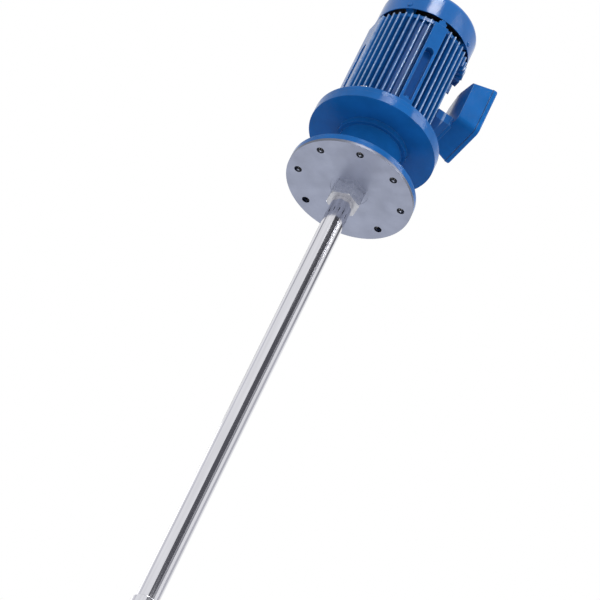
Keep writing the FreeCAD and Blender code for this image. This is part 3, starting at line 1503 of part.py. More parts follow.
def make_terminals():
    """Terminal block with six screws, and three links that join the two rows."""
    block = new_piece("terminal_block")
    sketch = new_sketch(block, "outline", "YZ_Plane", BOX_FLOOR)
    low = f"{BLOCK_MIDDLE} - block_tall / 2"
    add_outline(sketch, wide_points("block_wide", low, f"{BLOCK_MIDDLE} + block_tall / 2"))
    push(block, sketch, "block_thick", "base")
    for number, side in enumerate(("-", "+"), start=1):
        wall = new_sketch(block, f"wall_{number}_outline", "YZ_Plane", BLOCK_FACE)
        middle = f"(0 {side} stud_pitch / 2)"
        add_outline(wall, box_points(f"{middle} - 0.8", f"{middle} + 0.8", low, f"{BLOCK_MIDDLE} + block_tall / 2"))
        push(block, wall, "block_thick / 3", f"wall_{number}")
    holes = new_sketch(block, "stud_circles", "YZ_Plane", BLOCK_FACE)
    for across, along in stud_places():
        add_circle(holes, across, along, "stud_radius + fit_gap")
    push(block, holes, "stud_long / 2", "stud_holes", cut=True)
    screws = new_piece("terminal_screws")
    shanks = new_sketch(screws, "circles", "YZ_Plane", f"{BLOCK_FACE} + link_thick")
    for across, along in stud_places():
        add_circle(shanks, across, along, "stud_radius")
    push(screws, shanks, "stud_long / 2 + link_thick", "shanks", reverse=True)
    heads = new_sketch(screws, "head_outlines", "YZ_Plane", f"{BLOCK_FACE} + link_thick")
    for across, along in stud_places():
        add_outline(heads, hexagon_points("stud_flats", across, along))
    push(screws, heads, "stud_head", "heads")
    links = new_piece("terminal_links")
    plates = new_sketch(links, "outlines", "YZ_Plane", BLOCK_FACE)
    half = "(link_wide / 2)"
    for column in ("(-stud_pitch)", "(0 * stud_pitch)", "stud_pitch"):
        foot = f"{BLOCK_MIDDLE} - stud_row / 2 - {half}"
        crown = f"{BLOCK_MIDDLE} + stud_row / 2 + {half}"
        add_outline(plates, box_points(f"{column} - {half}", f"{column} + {half}", foot, crown))
    for across, along in stud_places():
        add_circle(plates, across, along, "stud_radius + fit_gap")
    push(links, plates, "link_thick", "plates")


def make_cable_gland():
    """Cable gland on the box wall away from the tool, and the domed nut that closes it."""
    body = new_piece("cable_gland")
    hexagon = new_sketch(body, "hexagon", "XZ_Plane", f"-({GLAND_WALL} + gland_flange)")
    add_outline(hexagon, hexagon_points("gland_flats", GLAND_ACROSS, GLAND_UP, "30"))
    push(body, hexagon, "gland_flange", "flange")
    stem = new_sketch(body, "stem_circle", "XZ_Plane", f"-({GLAND_WALL} + gland_flange + gland_neck)")
    add_circle(stem, GLAND_ACROSS, GLAND_UP, "gland_radius")
    push(body, stem, "gland_neck + gland_flange + gland_inside", "stem")
    bore = new_sketch(body, "bore_circle", "XZ_Plane", f"-({GLAND_WALL} + gland_flange + gland_neck + 1)")
    add_circle(bore, GLAND_ACROSS, GLAND_UP, "gland_bore")
    push(body, bore, "gland_neck + gland_flange + gland_inside + 2", "bore", cut=True, reverse=True)
    nut = new_piece("gland_nut")
    start = f"({GLAND_WALL} + gland_flange)"
    shell = new_sketch(nut, "shell_outline", "XZ_Plane", f"-({start} + gland_nut_tall * 0.6)")
    add_outline(shell, hexagon_points("gland_flats - 2", GLAND_ACROSS, GLAND_UP, "30"))
    push(nut, shell, "gland_nut_tall * 0.6 - slip_gap", "shell")
    dome = new_sketch(nut, "dome_circle", "XZ_Plane", f"-({start} + gland_nut_tall)")
    add_circle(dome, GLAND_ACROSS, GLAND_UP, "gland_flats / 2 - 3")
    push(nut, dome, "gland_nut_tall - 1", "dome")
    socket = new_sketch(nut, "socket_circle", "XZ_Plane", f"-({start} + gland_neck + fit_gap)")
    add_circle(socket, GLAND_ACROSS, GLAND_UP, "gland_radius + fit_gap")
    push(nut, socket, "gland_neck + 1", "socket", cut=True, reverse=True)
    mouth = new_sketch(nut, "mouth_circle", "XZ_Plane", f"-({start} + gland_nut_tall + 1)")
    add_circle(mouth, GLAND_ACROSS, GLAND_UP, "gland_bore")
    push(nut, mouth, "gland_nut_tall + 2", "mouth", cut=True, reverse=True)


make_mounting_plate()
make_flange_gasket()
make_hex_union()
lip_seal("shaft_seal", "seal_radius", "shaft_radius", "(-seal_tall - seal_shelf)", "seal_tall")
make_shaft_tube()
make_guide_bushes()
make_head_collar()
make_lower_bush()
make_stator()
make_stator_screws()
make_rotor()
make_rotor_key()
make_rotor_washer()
make_rotor_nut()
make_drive_shaft()
make_bearing_housing()
make_spindle_bearings()
make_coupling()
make_grub_screws()
make_motor_key()
make_motor_flange()
make_flange_bolts()
lip_seal("motor_shaft_seal", "lip_radius", "motor_journal", TOP, "lip_tall")
make_motor_frame()
make_tie_bolts()
make_stator_core()
make_windings()
make_rotor_core()
make_motor_shaft()
make_motor_bearings()
make_rear_end_shield()
make_cooling_fan()
make_fan_clip()
make_fan_cowl()
make_cowl_screws()
make_terminal_box_base()
make_box_gasket()
make_box_lid()
make_box_screws()
make_terminals()
make_cable_gland()

doc.recompute()
for item in doc.Objects:
    if "Invalid" in item.State or "Error" in item.State:
        raise ValueError(f"{item.Label} failed to build: {item.State}")

pieces = [item for item in doc.Objects if item.TypeId == "PartDesign::Body"]
for piece in pieces:
    if piece.Shape.isNull() or not piece.Shape.isValid():
        raise ValueError(f"{piece.Label} has no valid shape")

os.makedirs("parts", exist_ok=True)
for piece in pieces:
    piece.Shape.exportStep(f"parts/{piece.Label}.step")
print(f"{len(pieces)} pieces written")
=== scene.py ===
import math

import bmesh
import bpy
from mathutils import Matrix, Vector


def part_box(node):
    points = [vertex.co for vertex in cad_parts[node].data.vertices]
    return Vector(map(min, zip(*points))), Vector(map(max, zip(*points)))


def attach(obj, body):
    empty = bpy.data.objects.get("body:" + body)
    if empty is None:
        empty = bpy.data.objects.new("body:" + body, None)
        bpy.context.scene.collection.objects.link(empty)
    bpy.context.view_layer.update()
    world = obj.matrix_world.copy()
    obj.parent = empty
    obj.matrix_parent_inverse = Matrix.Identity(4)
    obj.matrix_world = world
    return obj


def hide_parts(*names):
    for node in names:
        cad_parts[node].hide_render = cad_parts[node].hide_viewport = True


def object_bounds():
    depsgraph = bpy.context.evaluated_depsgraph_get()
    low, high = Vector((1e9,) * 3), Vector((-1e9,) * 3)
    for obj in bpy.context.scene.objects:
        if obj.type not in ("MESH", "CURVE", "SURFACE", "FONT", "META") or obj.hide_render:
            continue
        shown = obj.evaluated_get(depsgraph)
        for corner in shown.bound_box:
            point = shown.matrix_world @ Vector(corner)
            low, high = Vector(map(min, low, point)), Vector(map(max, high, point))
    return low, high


# A top-mounted rotor and stator mixer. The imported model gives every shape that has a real
# size. This file adds the finishes and the fine pieces that repeat, such as bearing balls
# and weld ripples. Everything is in metres, with +Z up the shaft.

bl_info = {
    "name": "High shear emulsifier",
    "version": (1, 0, 0),
    "blender": (4, 5, 0),
    "location": "View3D > Sidebar > Emulsifier",
    "description": "Finishes, bearing balls, welds and stage of a rotor and stator mixer",
    "category": "Object",
}

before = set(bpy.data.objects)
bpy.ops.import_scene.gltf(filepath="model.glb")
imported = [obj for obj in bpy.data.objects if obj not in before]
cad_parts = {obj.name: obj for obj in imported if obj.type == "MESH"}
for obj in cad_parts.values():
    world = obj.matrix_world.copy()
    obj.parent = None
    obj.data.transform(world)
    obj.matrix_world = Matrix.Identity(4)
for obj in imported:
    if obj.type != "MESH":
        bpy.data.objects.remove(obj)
CAD_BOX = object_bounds()
MM = 0.001

MATH = "ShaderNodeMath"
VECTOR_MATH = "ShaderNodeVectorMath"
MIX = "ShaderNodeMix"
FIRST, SECOND = 6, 7  # the two colours of a mix node, by number as their names aren't unique
BUMP = "ShaderNodeBump"
BEVEL = "ShaderNodeBevel"
BEVEL_RAYS = 4  # enough for the normal of a rounded edge to look smooth


def linear(colour):
    """A colour written as sRGB hex, as the linear red, green and blue that nodes take."""
    parts = [int(colour[i : i + 2], 16) / 255 for i in (1, 3, 5)]
    return tuple(c / 12.92 if c <= 0.04045 else ((c + 0.055) / 1.055) ** 2.4 for c in parts)


def solid(colour, share=1.0, lift=(0.0, 0.0, 0.0)):
    """An opaque colour: this share of a linear colour, with a lift added, such as primer showing
    through or a painted highlight.
    """
    return (*(part * share + lift_part for part, lift_part in zip(colour, lift)), 1.0)


def add_node(tree, kind, inputs=None, **settings):
    """Adds a node with its settings, and gives its inputs their values or links. A node given
    as a value stands for its first output that is in use."""
    node = tree.nodes.new(kind)
    for name, value in settings.items():
        setattr(node, name, value)
    for key, value in (inputs or {}).items():
        if isinstance(value, bpy.types.Node):
            value = next(output for output in value.outputs if output.enabled)
        if isinstance(value, bpy.types.NodeSocket):
            tree.links.new(value, node.inputs[key])
        else:
            node.inputs[key].default_value = value
    return node


# Patterns that the finishes share

NOISE_LOW, NOISE_HIGH = 0.32, 0.68  # nearly all of a noise texture lies between these
WAVE_LENGTH = math.pi / 10  # metres from crest to crest of a wave texture whose scale is 1
PAD_FACE = 77.5 * MM  # from the shaft to the flat pads of the motor frame
PAD_MARGIN = 0.1 * MM


def blotches(tree, point, size, low=0.0, high=1.0, detail=3.0):
    """Soft patches of about this size in metres, as a value that runs from low to high."""
    noise = add_node(
        tree, "ShaderNodeTexNoise", {"Vector": point, "Scale": 1 / size, "Detail": detail}
    )
    given = {"Value": noise, "From Min": NOISE_LOW, "From Max": NOISE_HIGH}
    return add_node(tree, "ShaderNodeMapRange", {**given, "To Min": low, "To Max": high})


def streaks(tree, point, across, along, low=0.0, high=1.0):
    """Fine lines along the shaft: this far apart across it, and this long along it."""
    scale = (1 / across, 1 / across, 1 / along)
    stretched = add_node(tree, "ShaderNodeMapping", {"Vector": point, "Scale": scale})
    return blotches(tree, stretched, 1.0, low, high, detail=4.0)


def round_the_shaft(tree, point):
    """The direction in which a lathe leaves its marks, at right angles to the radius."""
    turned = add_node(tree, VECTOR_MATH, {0: (0, 0, 1), 1: point}, operation="CROSS_PRODUCT")
    return add_node(tree, VECTOR_MATH, {0: turned}, operation="NORMALIZE")


def out_from_shaft(tree, point, near, far, low=0.0, high=1.0):
    """A value that runs from low to high between two distances from the shaft."""
    flat = add_node(tree, VECTOR_MATH, {0: point, 1: (1, 1, 0)}, operation="MULTIPLY")
    away = add_node(tree, VECTOR_MATH, {0: flat}, operation="LENGTH")
    given = {"Value": away, "From Min": near, "From Max": far}
    return add_node(tree, "ShaderNodeMapRange", {**given, "To Min": low, "To Max": high})


def inside_pads(tree, point):
    """1 inside the square that the flat pads of the motor frame make, and 0 on and past them."""
    size = add_node(tree, VECTOR_MATH, {0: point}, operation="ABSOLUTE")
    parts = add_node(tree, "ShaderNodeSeparateXYZ", {"Vector": size}).outputs
    widest = add_node(tree, MATH, {0: parts["X"], 1: parts["Y"]}, operation="MAXIMUM")
    return add_node(tree, MATH, {0: widest, 1: PAD_FACE - PAD_MARGIN}, operation="LESS_THAN")


def upright(tree):
    """From 0 on level faces to 1 on walls."""
    normal = add_node(tree, "ShaderNodeNewGeometry").outputs["Normal"]
    up = add_node(tree, "ShaderNodeSeparateXYZ", {"Vector": normal}).outputs["Z"]
    level = add_node(tree, MATH, {0: up}, operation="ABSOLUTE")
    return add_node(tree, "ShaderNodeMapRange", {"Value": level, "To Min": 1.0, "To Max": 0.0})


def edge_mask(tree, rounded, gain):
    """From 0 on flat faces to 1 along edges, from how far the rounded normal turns."""
    flat = add_node(tree, "ShaderNodeNewGeometry").outputs["Normal"]
    same = add_node(tree, VECTOR_MATH, {0: rounded, 1: flat}, operation="DOT_PRODUCT")
    turned = add_node(tree, MATH, {0: 1.0, 1: same}, operation="SUBTRACT")
    return add_node(tree, MATH, {0: turned, 1: gain}, operation="MULTIPLY", use_clamp=True)


def empty_tree(name):
    """A new material with nothing in it, and its tree."""
    material = bpy.data.materials.new(name)
    material.use_nodes = True
    material.node_tree.nodes.clear()
    return material.node_tree


def started(name):
    """A new material's tree, and the point on the piece in metres, in the mixer's frame."""
    tree = empty_tree(name)
    return tree, add_node(tree, "ShaderNodeTexCoord").outputs["Object"]


def finished(name, tree, inputs):
    """Closes a material's tree with its shader and output."""
    shader = add_node(tree, "ShaderNodeBsdfPrincipled", inputs)
    add_node(tree, "ShaderNodeOutputMaterial", {"Surface": shader})
    return bpy.data.materials[name]


# Enamel. Its patterns are this large on the real thing.

DUST_PATCH = 45 * MM
SHINE_PATCH = 30 * MM
WEAR_AND_HIGHLIGHT_PATCH = 6 * MM
TIP_HIGHLIGHT_PATCH = 5 * MM
SAND_WAVE = 9 * MM
ORANGE_PEEL = 1.6 * MM
PEEL_DEPTH = 0.035 * MM

CLEAN, DUSTY = 0.10, 0.18  # roughness
LEAST_WEAR_AND_HIGHLIGHT = 0.1  # edge wear with its painted highlight, and the painted highlight on the fin tips, are patchy, and fall to these shares between patches
LEAST_TIP_HIGHLIGHT = 0.45
ROOT_DUST_AND_SHADE = 0.40  # how much of the paint dust and painted shade hide at the foot of the fins
ROOT_DULLING = 0.6  # roughness that a full cover of dust would add

# Shares of the paint's own colour that are left, and the lift added to them by primer and by a
# painted highlight on edges and fin tips. The foot of the fins takes painted shade.
DUSTED = 0.80
THINNED_AND_HIGHLIT = 0.55
PRIMER_AND_HIGHLIGHT = (0.15, 0.19, 0.25)
TIP_HIGHLIGHT_SHARE = 0.50
TIP_HIGHLIGHT_LIFT = (0.25, 0.31, 0.38)
ROOT_SHADE = (0.2, 0.35, 0.6)  # painted shade at the foot of the fins, as shares of its red, green and blue

# Distances from the shaft
FIN_FOOT = 66 * MM
FIN_TIP = 78.8 * MM  # just inside the ends of the fins, so that a whole end takes the painted highlight
TIP_BAND = 1.8 * MM
BOLT_CIRCLE = 82.5 * MM
HOLE_BAND = 7 * MM  # no hole reaches further than this from the bolt circle
HOLE_FADE = 1 * MM


def sprayed_enamel(
    name, colour, casting_depth, edge_round, wear_and_highlight,
    gloss=0.10, wear_and_highlight_gain=2.4, finned=False, shaded_holes=False,
):
    """Alkyd enamel sprayed over cast iron or sheet. A slightly wavy, half-gloss shine with
    orange peel in it, duller where dust has settled, paler on the edges from thin paint and a
    painted highlight. Between fins dust dulls the paint and painted shade darkens it, the tips
    of the fins carry a painted highlight, and drilled holes take painted shade on their walls."""
    tree, point = started(name)
    edge = add_node(tree, BEVEL, {"Radius": edge_round}, samples=BEVEL_RAYS)
    dust = blotches(tree, point, DUST_PATCH, detail=5.0)
    shine = blotches(tree, point, SHINE_PATCH, CLEAN, DUSTY)
    layers = [(dust, solid(colour, DUSTED))]
    if shaded_holes:
        # The walls of the bolt holes are painted dark, as painted shade inside the holes
        inner, outer = BOLT_CIRCLE - HOLE_BAND, BOLT_CIRCLE + HOLE_BAND
        near = out_from_shaft(tree, point, inner - HOLE_FADE, inner)
        far = out_from_shaft(tree, point, outer, outer + HOLE_FADE, 1.0, 0.0)
        band = add_node(tree, MATH, {0: near, 1: far}, operation="MULTIPLY")
        painted_hole_shade = add_node(tree, MATH, {0: band, 1: upright(tree)}, operation="MULTIPLY")
        layers.append((painted_hole_shade, solid(linear("#26272b"))))
    if finned:
        # Painted shade darkens the paint towards the foot of the fins, where dust also dulls it
        root_dust_and_shade = out_from_shaft(tree, point, FIN_FOOT, FIN_TIP, ROOT_DUST_AND_SHADE, 0.0)
        duller = {0: root_dust_and_shade, 1: ROOT_DULLING, 2: shine}
        shine = add_node(tree, MATH, duller, operation="MULTIPLY_ADD")
        root_shade = [part * share for part, share in zip(colour, ROOT_SHADE)]
        # A painted highlight along the tips of the fins, patchy, and not on the flat pads
        band = out_from_shaft(tree, point, FIN_TIP - TIP_BAND, FIN_TIP)
        tip_glint = blotches(tree, point, TIP_HIGHLIGHT_PATCH, LEAST_TIP_HIGHLIGHT)
        tip_glint = add_node(tree, MATH, {0: band, 1: tip_glint}, operation="MULTIPLY")
        tip_highlight = add_node(tree, MATH, {0: tip_glint, 1: inside_pads(tree, point)}, operation="MULTIPLY")
        layers += [(root_dust_and_shade, solid(root_shade)), (tip_highlight, solid(colour, TIP_HIGHLIGHT_SHARE, TIP_HIGHLIGHT_LIFT))]
    # Edges are paler, partly from thin, worn paint and partly from a painted highlight
    patchy = blotches(tree, point, WEAR_AND_HIGHLIGHT_PATCH, LEAST_WEAR_AND_HIGHLIGHT, wear_and_highlight)
    edges = edge_mask(tree, edge, wear_and_highlight_gain)
    worn_and_highlit = add_node(tree, MATH, {0: edges, 1: patchy}, operation="MULTIPLY")
    layers.append((worn_and_highlit, solid(colour, THINNED_AND_HIGHLIT, PRIMER_AND_HIGHLIGHT)))
    coat = solid(colour)
    for share, over in layers:
        coat = add_node(tree, MIX, {0: share, FIRST: coat, SECOND: over}, data_type="RGBA")
    # The sand-cast skin shows through the paint as waves, with the orange peel on them
    wave = blotches(tree, point, SAND_WAVE)
    skin = add_node(tree, BUMP, {"Height": wave, "Distance": casting_depth, "Normal": edge})
    grain = blotches(tree, point, ORANGE_PEEL, detail=1.0)
    peel = add_node(tree, BUMP, {"Height": grain, "Distance": PEEL_DEPTH, "Normal": skin})
    look = {"Base Color": coat, "Roughness": shine, "Specular IOR Level": gloss, "Normal": peel}
    return finished(name, tree, look)


# Metals, plastics and rubbers

CUT_EDGE = 0.5 * MM  # the break that a file leaves on a turned edge
MOULD_EDGE = 0.4 * MM
DULLER, BRIGHTER = 0.08, 0.06  # how far a skin's roughness strays to either side

# Tarnish on turned metal, and the brightness that it leaves
TARNISH_PATCH = 35 * MM
TARNISHED = 0.86
HANDLED_PATCH = 20 * MM

# Lines, clouds and duller stretches on drawn pipe: their size across and along it
DRAW_LINE = (0.8 * MM, 60 * MM)
DRAW_CLOUD = (5 * MM, 140 * MM)
BUFF_STREAK = (3 * MM, 90 * MM)
DRAW_DEPTH = 0.003 * MM
CLOUDED = 0.88

# Patches on metal and on plastic are this many grains across
METAL_TINT, METAL_SHINE = 8, 3
PLASTIC_TINT, PLASTIC_SHINE = 10, 4
EDGE_GAIN = 2.0
EDGE_SHINE = 0.45  # how bright handling has rubbed the edges of plain metal
RUBBED_BRIGHT = (0.9, 0.9, 0.9, 1.0)
PLASTIC_IOR = 1.49

# Seams between stacked sheets
SEAM_SHADE = 0.35
SEAM_DEPTH = 0.1 * MM
OXIDE_PATCH = 6 * MM


def turned_metal(name, colour, roughness, feed, depth, anisotropy, rim=1.0):
    """Stainless steel or aluminium faced on a lathe. Fine rings draw the light out into two
    fans. Rim is the share of the brightness left on walls, as painted shade on a rim or in a hole."""
    tree, point = started(name)
    edge = add_node(tree, BEVEL, {"Radius": CUT_EDGE}, samples=BEVEL_RAYS)
    cloud = blotches(tree, point, TARNISH_PATCH, detail=4.0)
    tints = {0: cloud, FIRST: solid(colour), SECOND: solid(colour, TARNISHED)}
    face = add_node(tree, MIX, tints, data_type="RGBA")
    # Walls, such as the rim and the holes, keep only the share rim of the colour, as painted shade
    shaded_walls = {0: upright(tree), FIRST: face, SECOND: solid(colour, rim)}
    # The tool leaves one ring for each step of its feed. A real step of about 0.2 mm is
    # drawn coarser so that it shows.
    wave = {"Vector": point, "Scale": WAVE_LENGTH / feed, "Distortion": 0.6, "Detail": 2.0}
    rings = add_node(tree, "ShaderNodeTexWave", wave, wave_type="RINGS", rings_direction="Z")
    height = rings.outputs["Fac"]
    look = {
        "Base Color": add_node(tree, MIX, shaded_walls, data_type="RGBA"),
        "Metallic": 1.0,
        "Roughness": blotches(tree, point, HANDLED_PATCH, roughness - 0.05, roughness + 0.06),
        "Anisotropic": anisotropy,
        "Tangent": round_the_shaft(tree, point),
        "Normal": add_node(tree, BUMP, {"Height": height, "Distance": depth, "Normal": edge}),
    }
    return finished(name, tree, look)


def polished_pipe(name, colour, roughness):
    """Stainless pipe, drawn and then buffed. Mirror bright round its girth, with faint draw
    lines along its length that blur each reflection a little. The real lines are about
    0.1 mm apart and are drawn coarser so that they show."""
    tree, point = started(name)
    lines = streaks(tree, point, *DRAW_LINE)
    cloud = streaks(tree, point, *DRAW_CLOUD)
    tints = {0: cloud, FIRST: solid(colour), SECOND: solid(colour, CLOUDED)}
    look = {
        "Base Color": add_node(tree, MIX, tints, data_type="RGBA"),
        "Metallic": 1.0,
        "Roughness": streaks(tree, point, *BUFF_STREAK, roughness - 0.02, roughness + 0.04),
        "Normal": add_node(tree, BUMP, {"Height": lines, "Distance": DRAW_DEPTH}),
    }
    return finished(name, tree, look)


def bare_metal(name, colour, other, roughness, grain, depth, edge_round=0.3 * MM):
    """Any bare metal whose skin is an even grain: plated, cast, pressed, ground or oiled."""
    tree, point = started(name)
    edge = add_node(tree, BEVEL, {"Radius": edge_round}, samples=BEVEL_RAYS)
    patch = blotches(tree, point, METAL_TINT * grain, detail=5.0)
    tints = {0: patch, FIRST: solid(colour), SECOND: solid(other)}
    skin = add_node(tree, MIX, tints, data_type="RGBA")
    rubbed = {0: edge_mask(tree, edge, EDGE_GAIN), 1: EDGE_SHINE}
    bright = add_node(tree, MATH, rubbed, operation="MULTIPLY")
    edges = {0: bright, FIRST: skin, SECOND: RUBBED_BRIGHT}
    bumps = blotches(tree, point, grain)
    low, high = roughness - BRIGHTER, roughness + DULLER
    look = {
        "Base Color": add_node(tree, MIX, edges, data_type="RGBA"),
        "Metallic": 1.0,
        "Roughness": blotches(tree, point, METAL_SHINE * grain, low, high),
        "Normal": add_node(tree, BUMP, {"Height": bumps, "Distance": depth, "Normal": edge}),
    }
    return finished(name, tree, look)


def moulded_stuff(name, colour, other, roughness, grain, depth, shine=0.5):
    """Any moulded or cut plastic or rubber: an even body colour with a fine, soft grain."""
    tree, point = started(name)
    edge = add_node(tree, BEVEL, {"Radius": MOULD_EDGE}, samples=BEVEL_RAYS)
    patch = blotches(tree, point, PLASTIC_TINT * grain, detail=4.0)
    tints = {0: patch, FIRST: solid(colour), SECOND: solid(other)}
    bumps = blotches(tree, point, grain)
    low, high = roughness - BRIGHTER, roughness + DULLER
    look = {
        "Base Color": add_node(tree, MIX, tints, data_type="RGBA"),
        "Roughness": blotches(tree, point, PLASTIC_SHINE * grain, low, high),
        "IOR": PLASTIC_IOR,
        "Specular IOR Level": shine,
        "Normal": add_node(tree, BUMP, {"Height": bumps, "Distance": depth, "Normal": edge}),
    }
    return finished(name, tree, look)


def stacked_sheet(name, colour, pitch):
    """Silicon steel laminations. Thin sheets in a stack show as fine dark seams; the real
    pitch of 0.5 mm is drawn at 1.5 mm so that it shows."""
    tree, point = started(name)
    wave = {"Vector": point, "Scale": WAVE_LENGTH / pitch}
    bands = add_node(tree, "ShaderNodeTexWave", wave, wave_type="BANDS", bands_direction="Z")
    seams = bands.outputs["Fac"]
    tints = {0: seams, FIRST: solid(colour, SEAM_SHADE), SECOND: solid(colour)}
    look = {
        "Base Color": add_node(tree, MIX, tints, data_type="RGBA"),
        "Metallic": 1.0,
        "Roughness": blotches(tree, point, OXIDE_PATCH, 0.38, 0.55),
        "Normal": add_node(tree, BUMP, {"Height": seams, "Distance": SEAM_DEPTH}),
    }
    return finished(name, tree, look)


# Sizes and colours that a user would change


def colour_setting(name, description, default):
    """A colour whose default is written as sRGB hex."""
    return bpy.props.FloatVectorProperty(
        name=name, description=description, default=linear(default),
        min=0.0, max=1.0, size=3, subtype="COLOR",
    )


def length_setting(name, description, default, low, high):
    """A length in metres, and the least and most that it may be."""
    return bpy.props.FloatProperty(
        name=name, description=description, default=default,
        min=low, max=high, subtype="DISTANCE", unit="LENGTH",
    )


def angle_setting(name, description, degrees):
    """An angle whose default is written in degrees."""
    return bpy.props.FloatProperty(
        name=name, description=description, default=math.radians(degrees), subtype="ANGLE",
    )


class PaintSettings(bpy.types.PropertyGroup):
    """Enamel of the castings and the cowl."""

    enamel: colour_setting("Enamel", "Blue of the motor and the bearing housing", "#165fa6")
    skin: length_setting(
        "Casting skin", "Depth of the waves that the casting leaves", 0.10 * MM, 0.0, 1 * MM
    )
    edge: length_setting("Edge round", "Radius of the paint on edges", 0.9 * MM, 0.1 * MM, 3 * MM)


class MetalSettings(bpy.types.PropertyGroup):
    """Bare metal of the plate, the tube and the head."""

    plate: colour_setting("Plate", "Turned stainless of the mounting plate", "#bec5da")
    tube: colour_setting("Tube", "Polished stainless of the shaft tube", "#dcdce2")
    head: colour_setting("Head", "Turned stainless of the stator and rotor", "#c9c9cd")
    zinc: colour_setting("Fasteners", "Zinc plating of the screws", "#b4b6ba")
    feed: length_setting(
        "Lathe feed", "Pitch of the rings on turned faces", 0.9 * MM, 0.2 * MM, 5 * MM
    )


class PlasticSettings(bpy.types.PropertyGroup):
    """Plastics and rubbers."""

    bush: colour_setting("Bushes", "Filled fluoropolymer of the guide bushes", "#d8d4c6")
    rubber: colour_setting("Rubber", "Nitrile of the gaskets", "#17171a")
    spider: colour_setting("Spider", "Polyurethane of the coupling spider", "#b3231a")
    black: colour_setting("Black plastic", "Glass-filled polyamide of fan and gland", "#1b1c1f")


class BearingSettings(bpy.types.PropertyGroup):
    """Balls and cages of the ball bearings."""

    play: length_setting("Play", "Gap between a ball and its groove", 0.05 * MM, 0.0, 1 * MM)
    sheet: length_setting("Cage sheet", "Thickness of the pressed cage", 0.5 * MM, 0.2 * MM, 1 * MM)


class WeldSettings(bpy.types.PropertyGroup):
    """The weld ring between the tube and the head's collar."""

    bead: length_setting("Bead", "Half width of the bead", 1.1 * MM, 0.3 * MM, 3 * MM)
    ripples: bpy.props.IntProperty(
        name="Ripples", description="Ripples round the tube", default=64, min=12, max=240
    )


class StageSettings(bpy.types.PropertyGroup):
    """Camera and floor."""

    azimuth: angle_setting("Azimuth", "Turn of the camera about the shaft", -12)
    elevation: angle_setting("Elevation", "Height of the camera's line of sight", -40.5)
    roll: angle_setting("Roll", "Lean of the shaft in the picture", 26.26)
    distance: length_setting("Distance", "From the plate's centre to the camera", 8.5, 2.0, 30.0)
    floor: colour_setting("Floor", "Pale floor", "#f2f2f4")


# Help for the operators


def dress(material, *names):
    """Gives CAD nodes their finish."""
    for name in names:
        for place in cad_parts[name].material_slots:
            place.material = material


def placed(name, data):
    """A new object in the scene that holds this mesh, lamp or camera."""
    thing = bpy.data.objects.new(name, data)
    bpy.context.scene.collection.objects.link(thing)
    return thing


def plain_piece(name, mesh, material, body):
    """A finished mesh as an object at the origin that moves with a body."""
    mesh.materials.clear()
    mesh.materials.append(material)
    piece = placed(name, mesh)
    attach(piece, body)
    return piece


def grown(name, tree, values):
    """The plain mesh that a Geometry Nodes tree makes from these values of its inputs."""
    holder = placed(name, bpy.data.meshes.new(name))
    maker = holder.modifiers.new("maker", "NODES")
    maker.node_group = tree
    for item in tree.interface.items_tree:
        if item.item_type == "SOCKET" and item.in_out == "INPUT" and item.name in values:
            maker[item.identifier] = values[item.name]
    graph = bpy.context.evaluated_depsgraph_get()
    mesh = bpy.data.meshes.new_from_object(holder.evaluated_get(graph))
    bpy.data.objects.remove(holder)
    mesh.name = name
    return mesh


def opened(name, count, lengths):
    """A Geometry Nodes tree whose inputs are a count, lengths and a material, and the sockets
    that give their values."""
    tree = bpy.data.node_groups.new(name, "GeometryNodeTree")
    tree.interface.new_socket("Geometry", in_out="OUTPUT", socket_type="NodeSocketGeometry")
    kinds = {count: "Int", **dict.fromkeys(lengths, "Float"), "Stuff": "Material"}
    for label, kind in kinds.items():
        tree.interface.new_socket(label, in_out="INPUT", socket_type="NodeSocket" + kind)
    return tree, add_node(tree, "NodeGroupInput").outputs


def closed(tree, geometry, stuff):
    """Ends a tree: real geometry, shaded smooth, with its material."""
    real = add_node(tree, "GeometryNodeRealizeInstances", {"Geometry": geometry})
    smooth = add_node(tree, "GeometryNodeSetShadeSmooth", {"Geometry": real})
    dressed = add_node(tree, "GeometryNodeSetMaterial", {"Geometry": smooth, "Material": stuff})
    add_node(tree, "NodeGroupOutput", {"Geometry": dressed})
    return tree


def point_ring(tree, count, radius, level, turn=0.0):
    """Points at even steps on a circle round the shaft."""
    circle = add_node(tree, "GeometryNodeMeshCircle", {"Vertices": count, "Radius": radius})
    place = add_node(tree, "ShaderNodeCombineXYZ", {"Z": level})
    tilt = add_node(tree, "ShaderNodeCombineXYZ", {"Z": turn})
    moves = {"Geometry": circle, "Translation": place, "Rotation": tilt}
    return add_node(tree, "GeometryNodeTransform", moves)


def curve_ring(tree, points, radius, height):
    """A circle round the shaft as a curve, with each of its points at its own height."""
    ring = {"Resolution": points, "Radius": radius}
    circle = add_node(tree, "GeometryNodeCurvePrimitiveCircle", ring)
    place = add_node(tree, "ShaderNodeCombineXYZ", {"Z": height})
    return add_node(tree, "GeometryNodeSetPosition", {"Geometry": circle, "Offset": place})


def phase_of(tree, steps):
    """From -0.5 to 0.5 along each step of a curve that has this many points in a step."""
    index = add_node(tree, "GeometryNodeInputIndex")
    turns = add_node(tree, MATH, {0: index, 1: steps}, operation="DIVIDE")
    moved = add_node(tree, MATH, {0: turns, 1: 0.5}, operation="ADD")
    part = add_node(tree, MATH, {0: moved}, operation="FRACT")
    return add_node(tree, MATH, {0: part, 1: 0.5}, operation="SUBTRACT")


def swept(tree, curve, profile):
    """A curve round the shaft with a closed profile carried along it."""
    level = add_node(tree, "GeometryNodeSetCurveNormal", {"Curve": curve}, mode="Z_UP")
    return add_node(tree, "GeometryNodeCurveToMesh", {"Curve": level, "Profile Curve": profile})


# Bearing balls and their cages

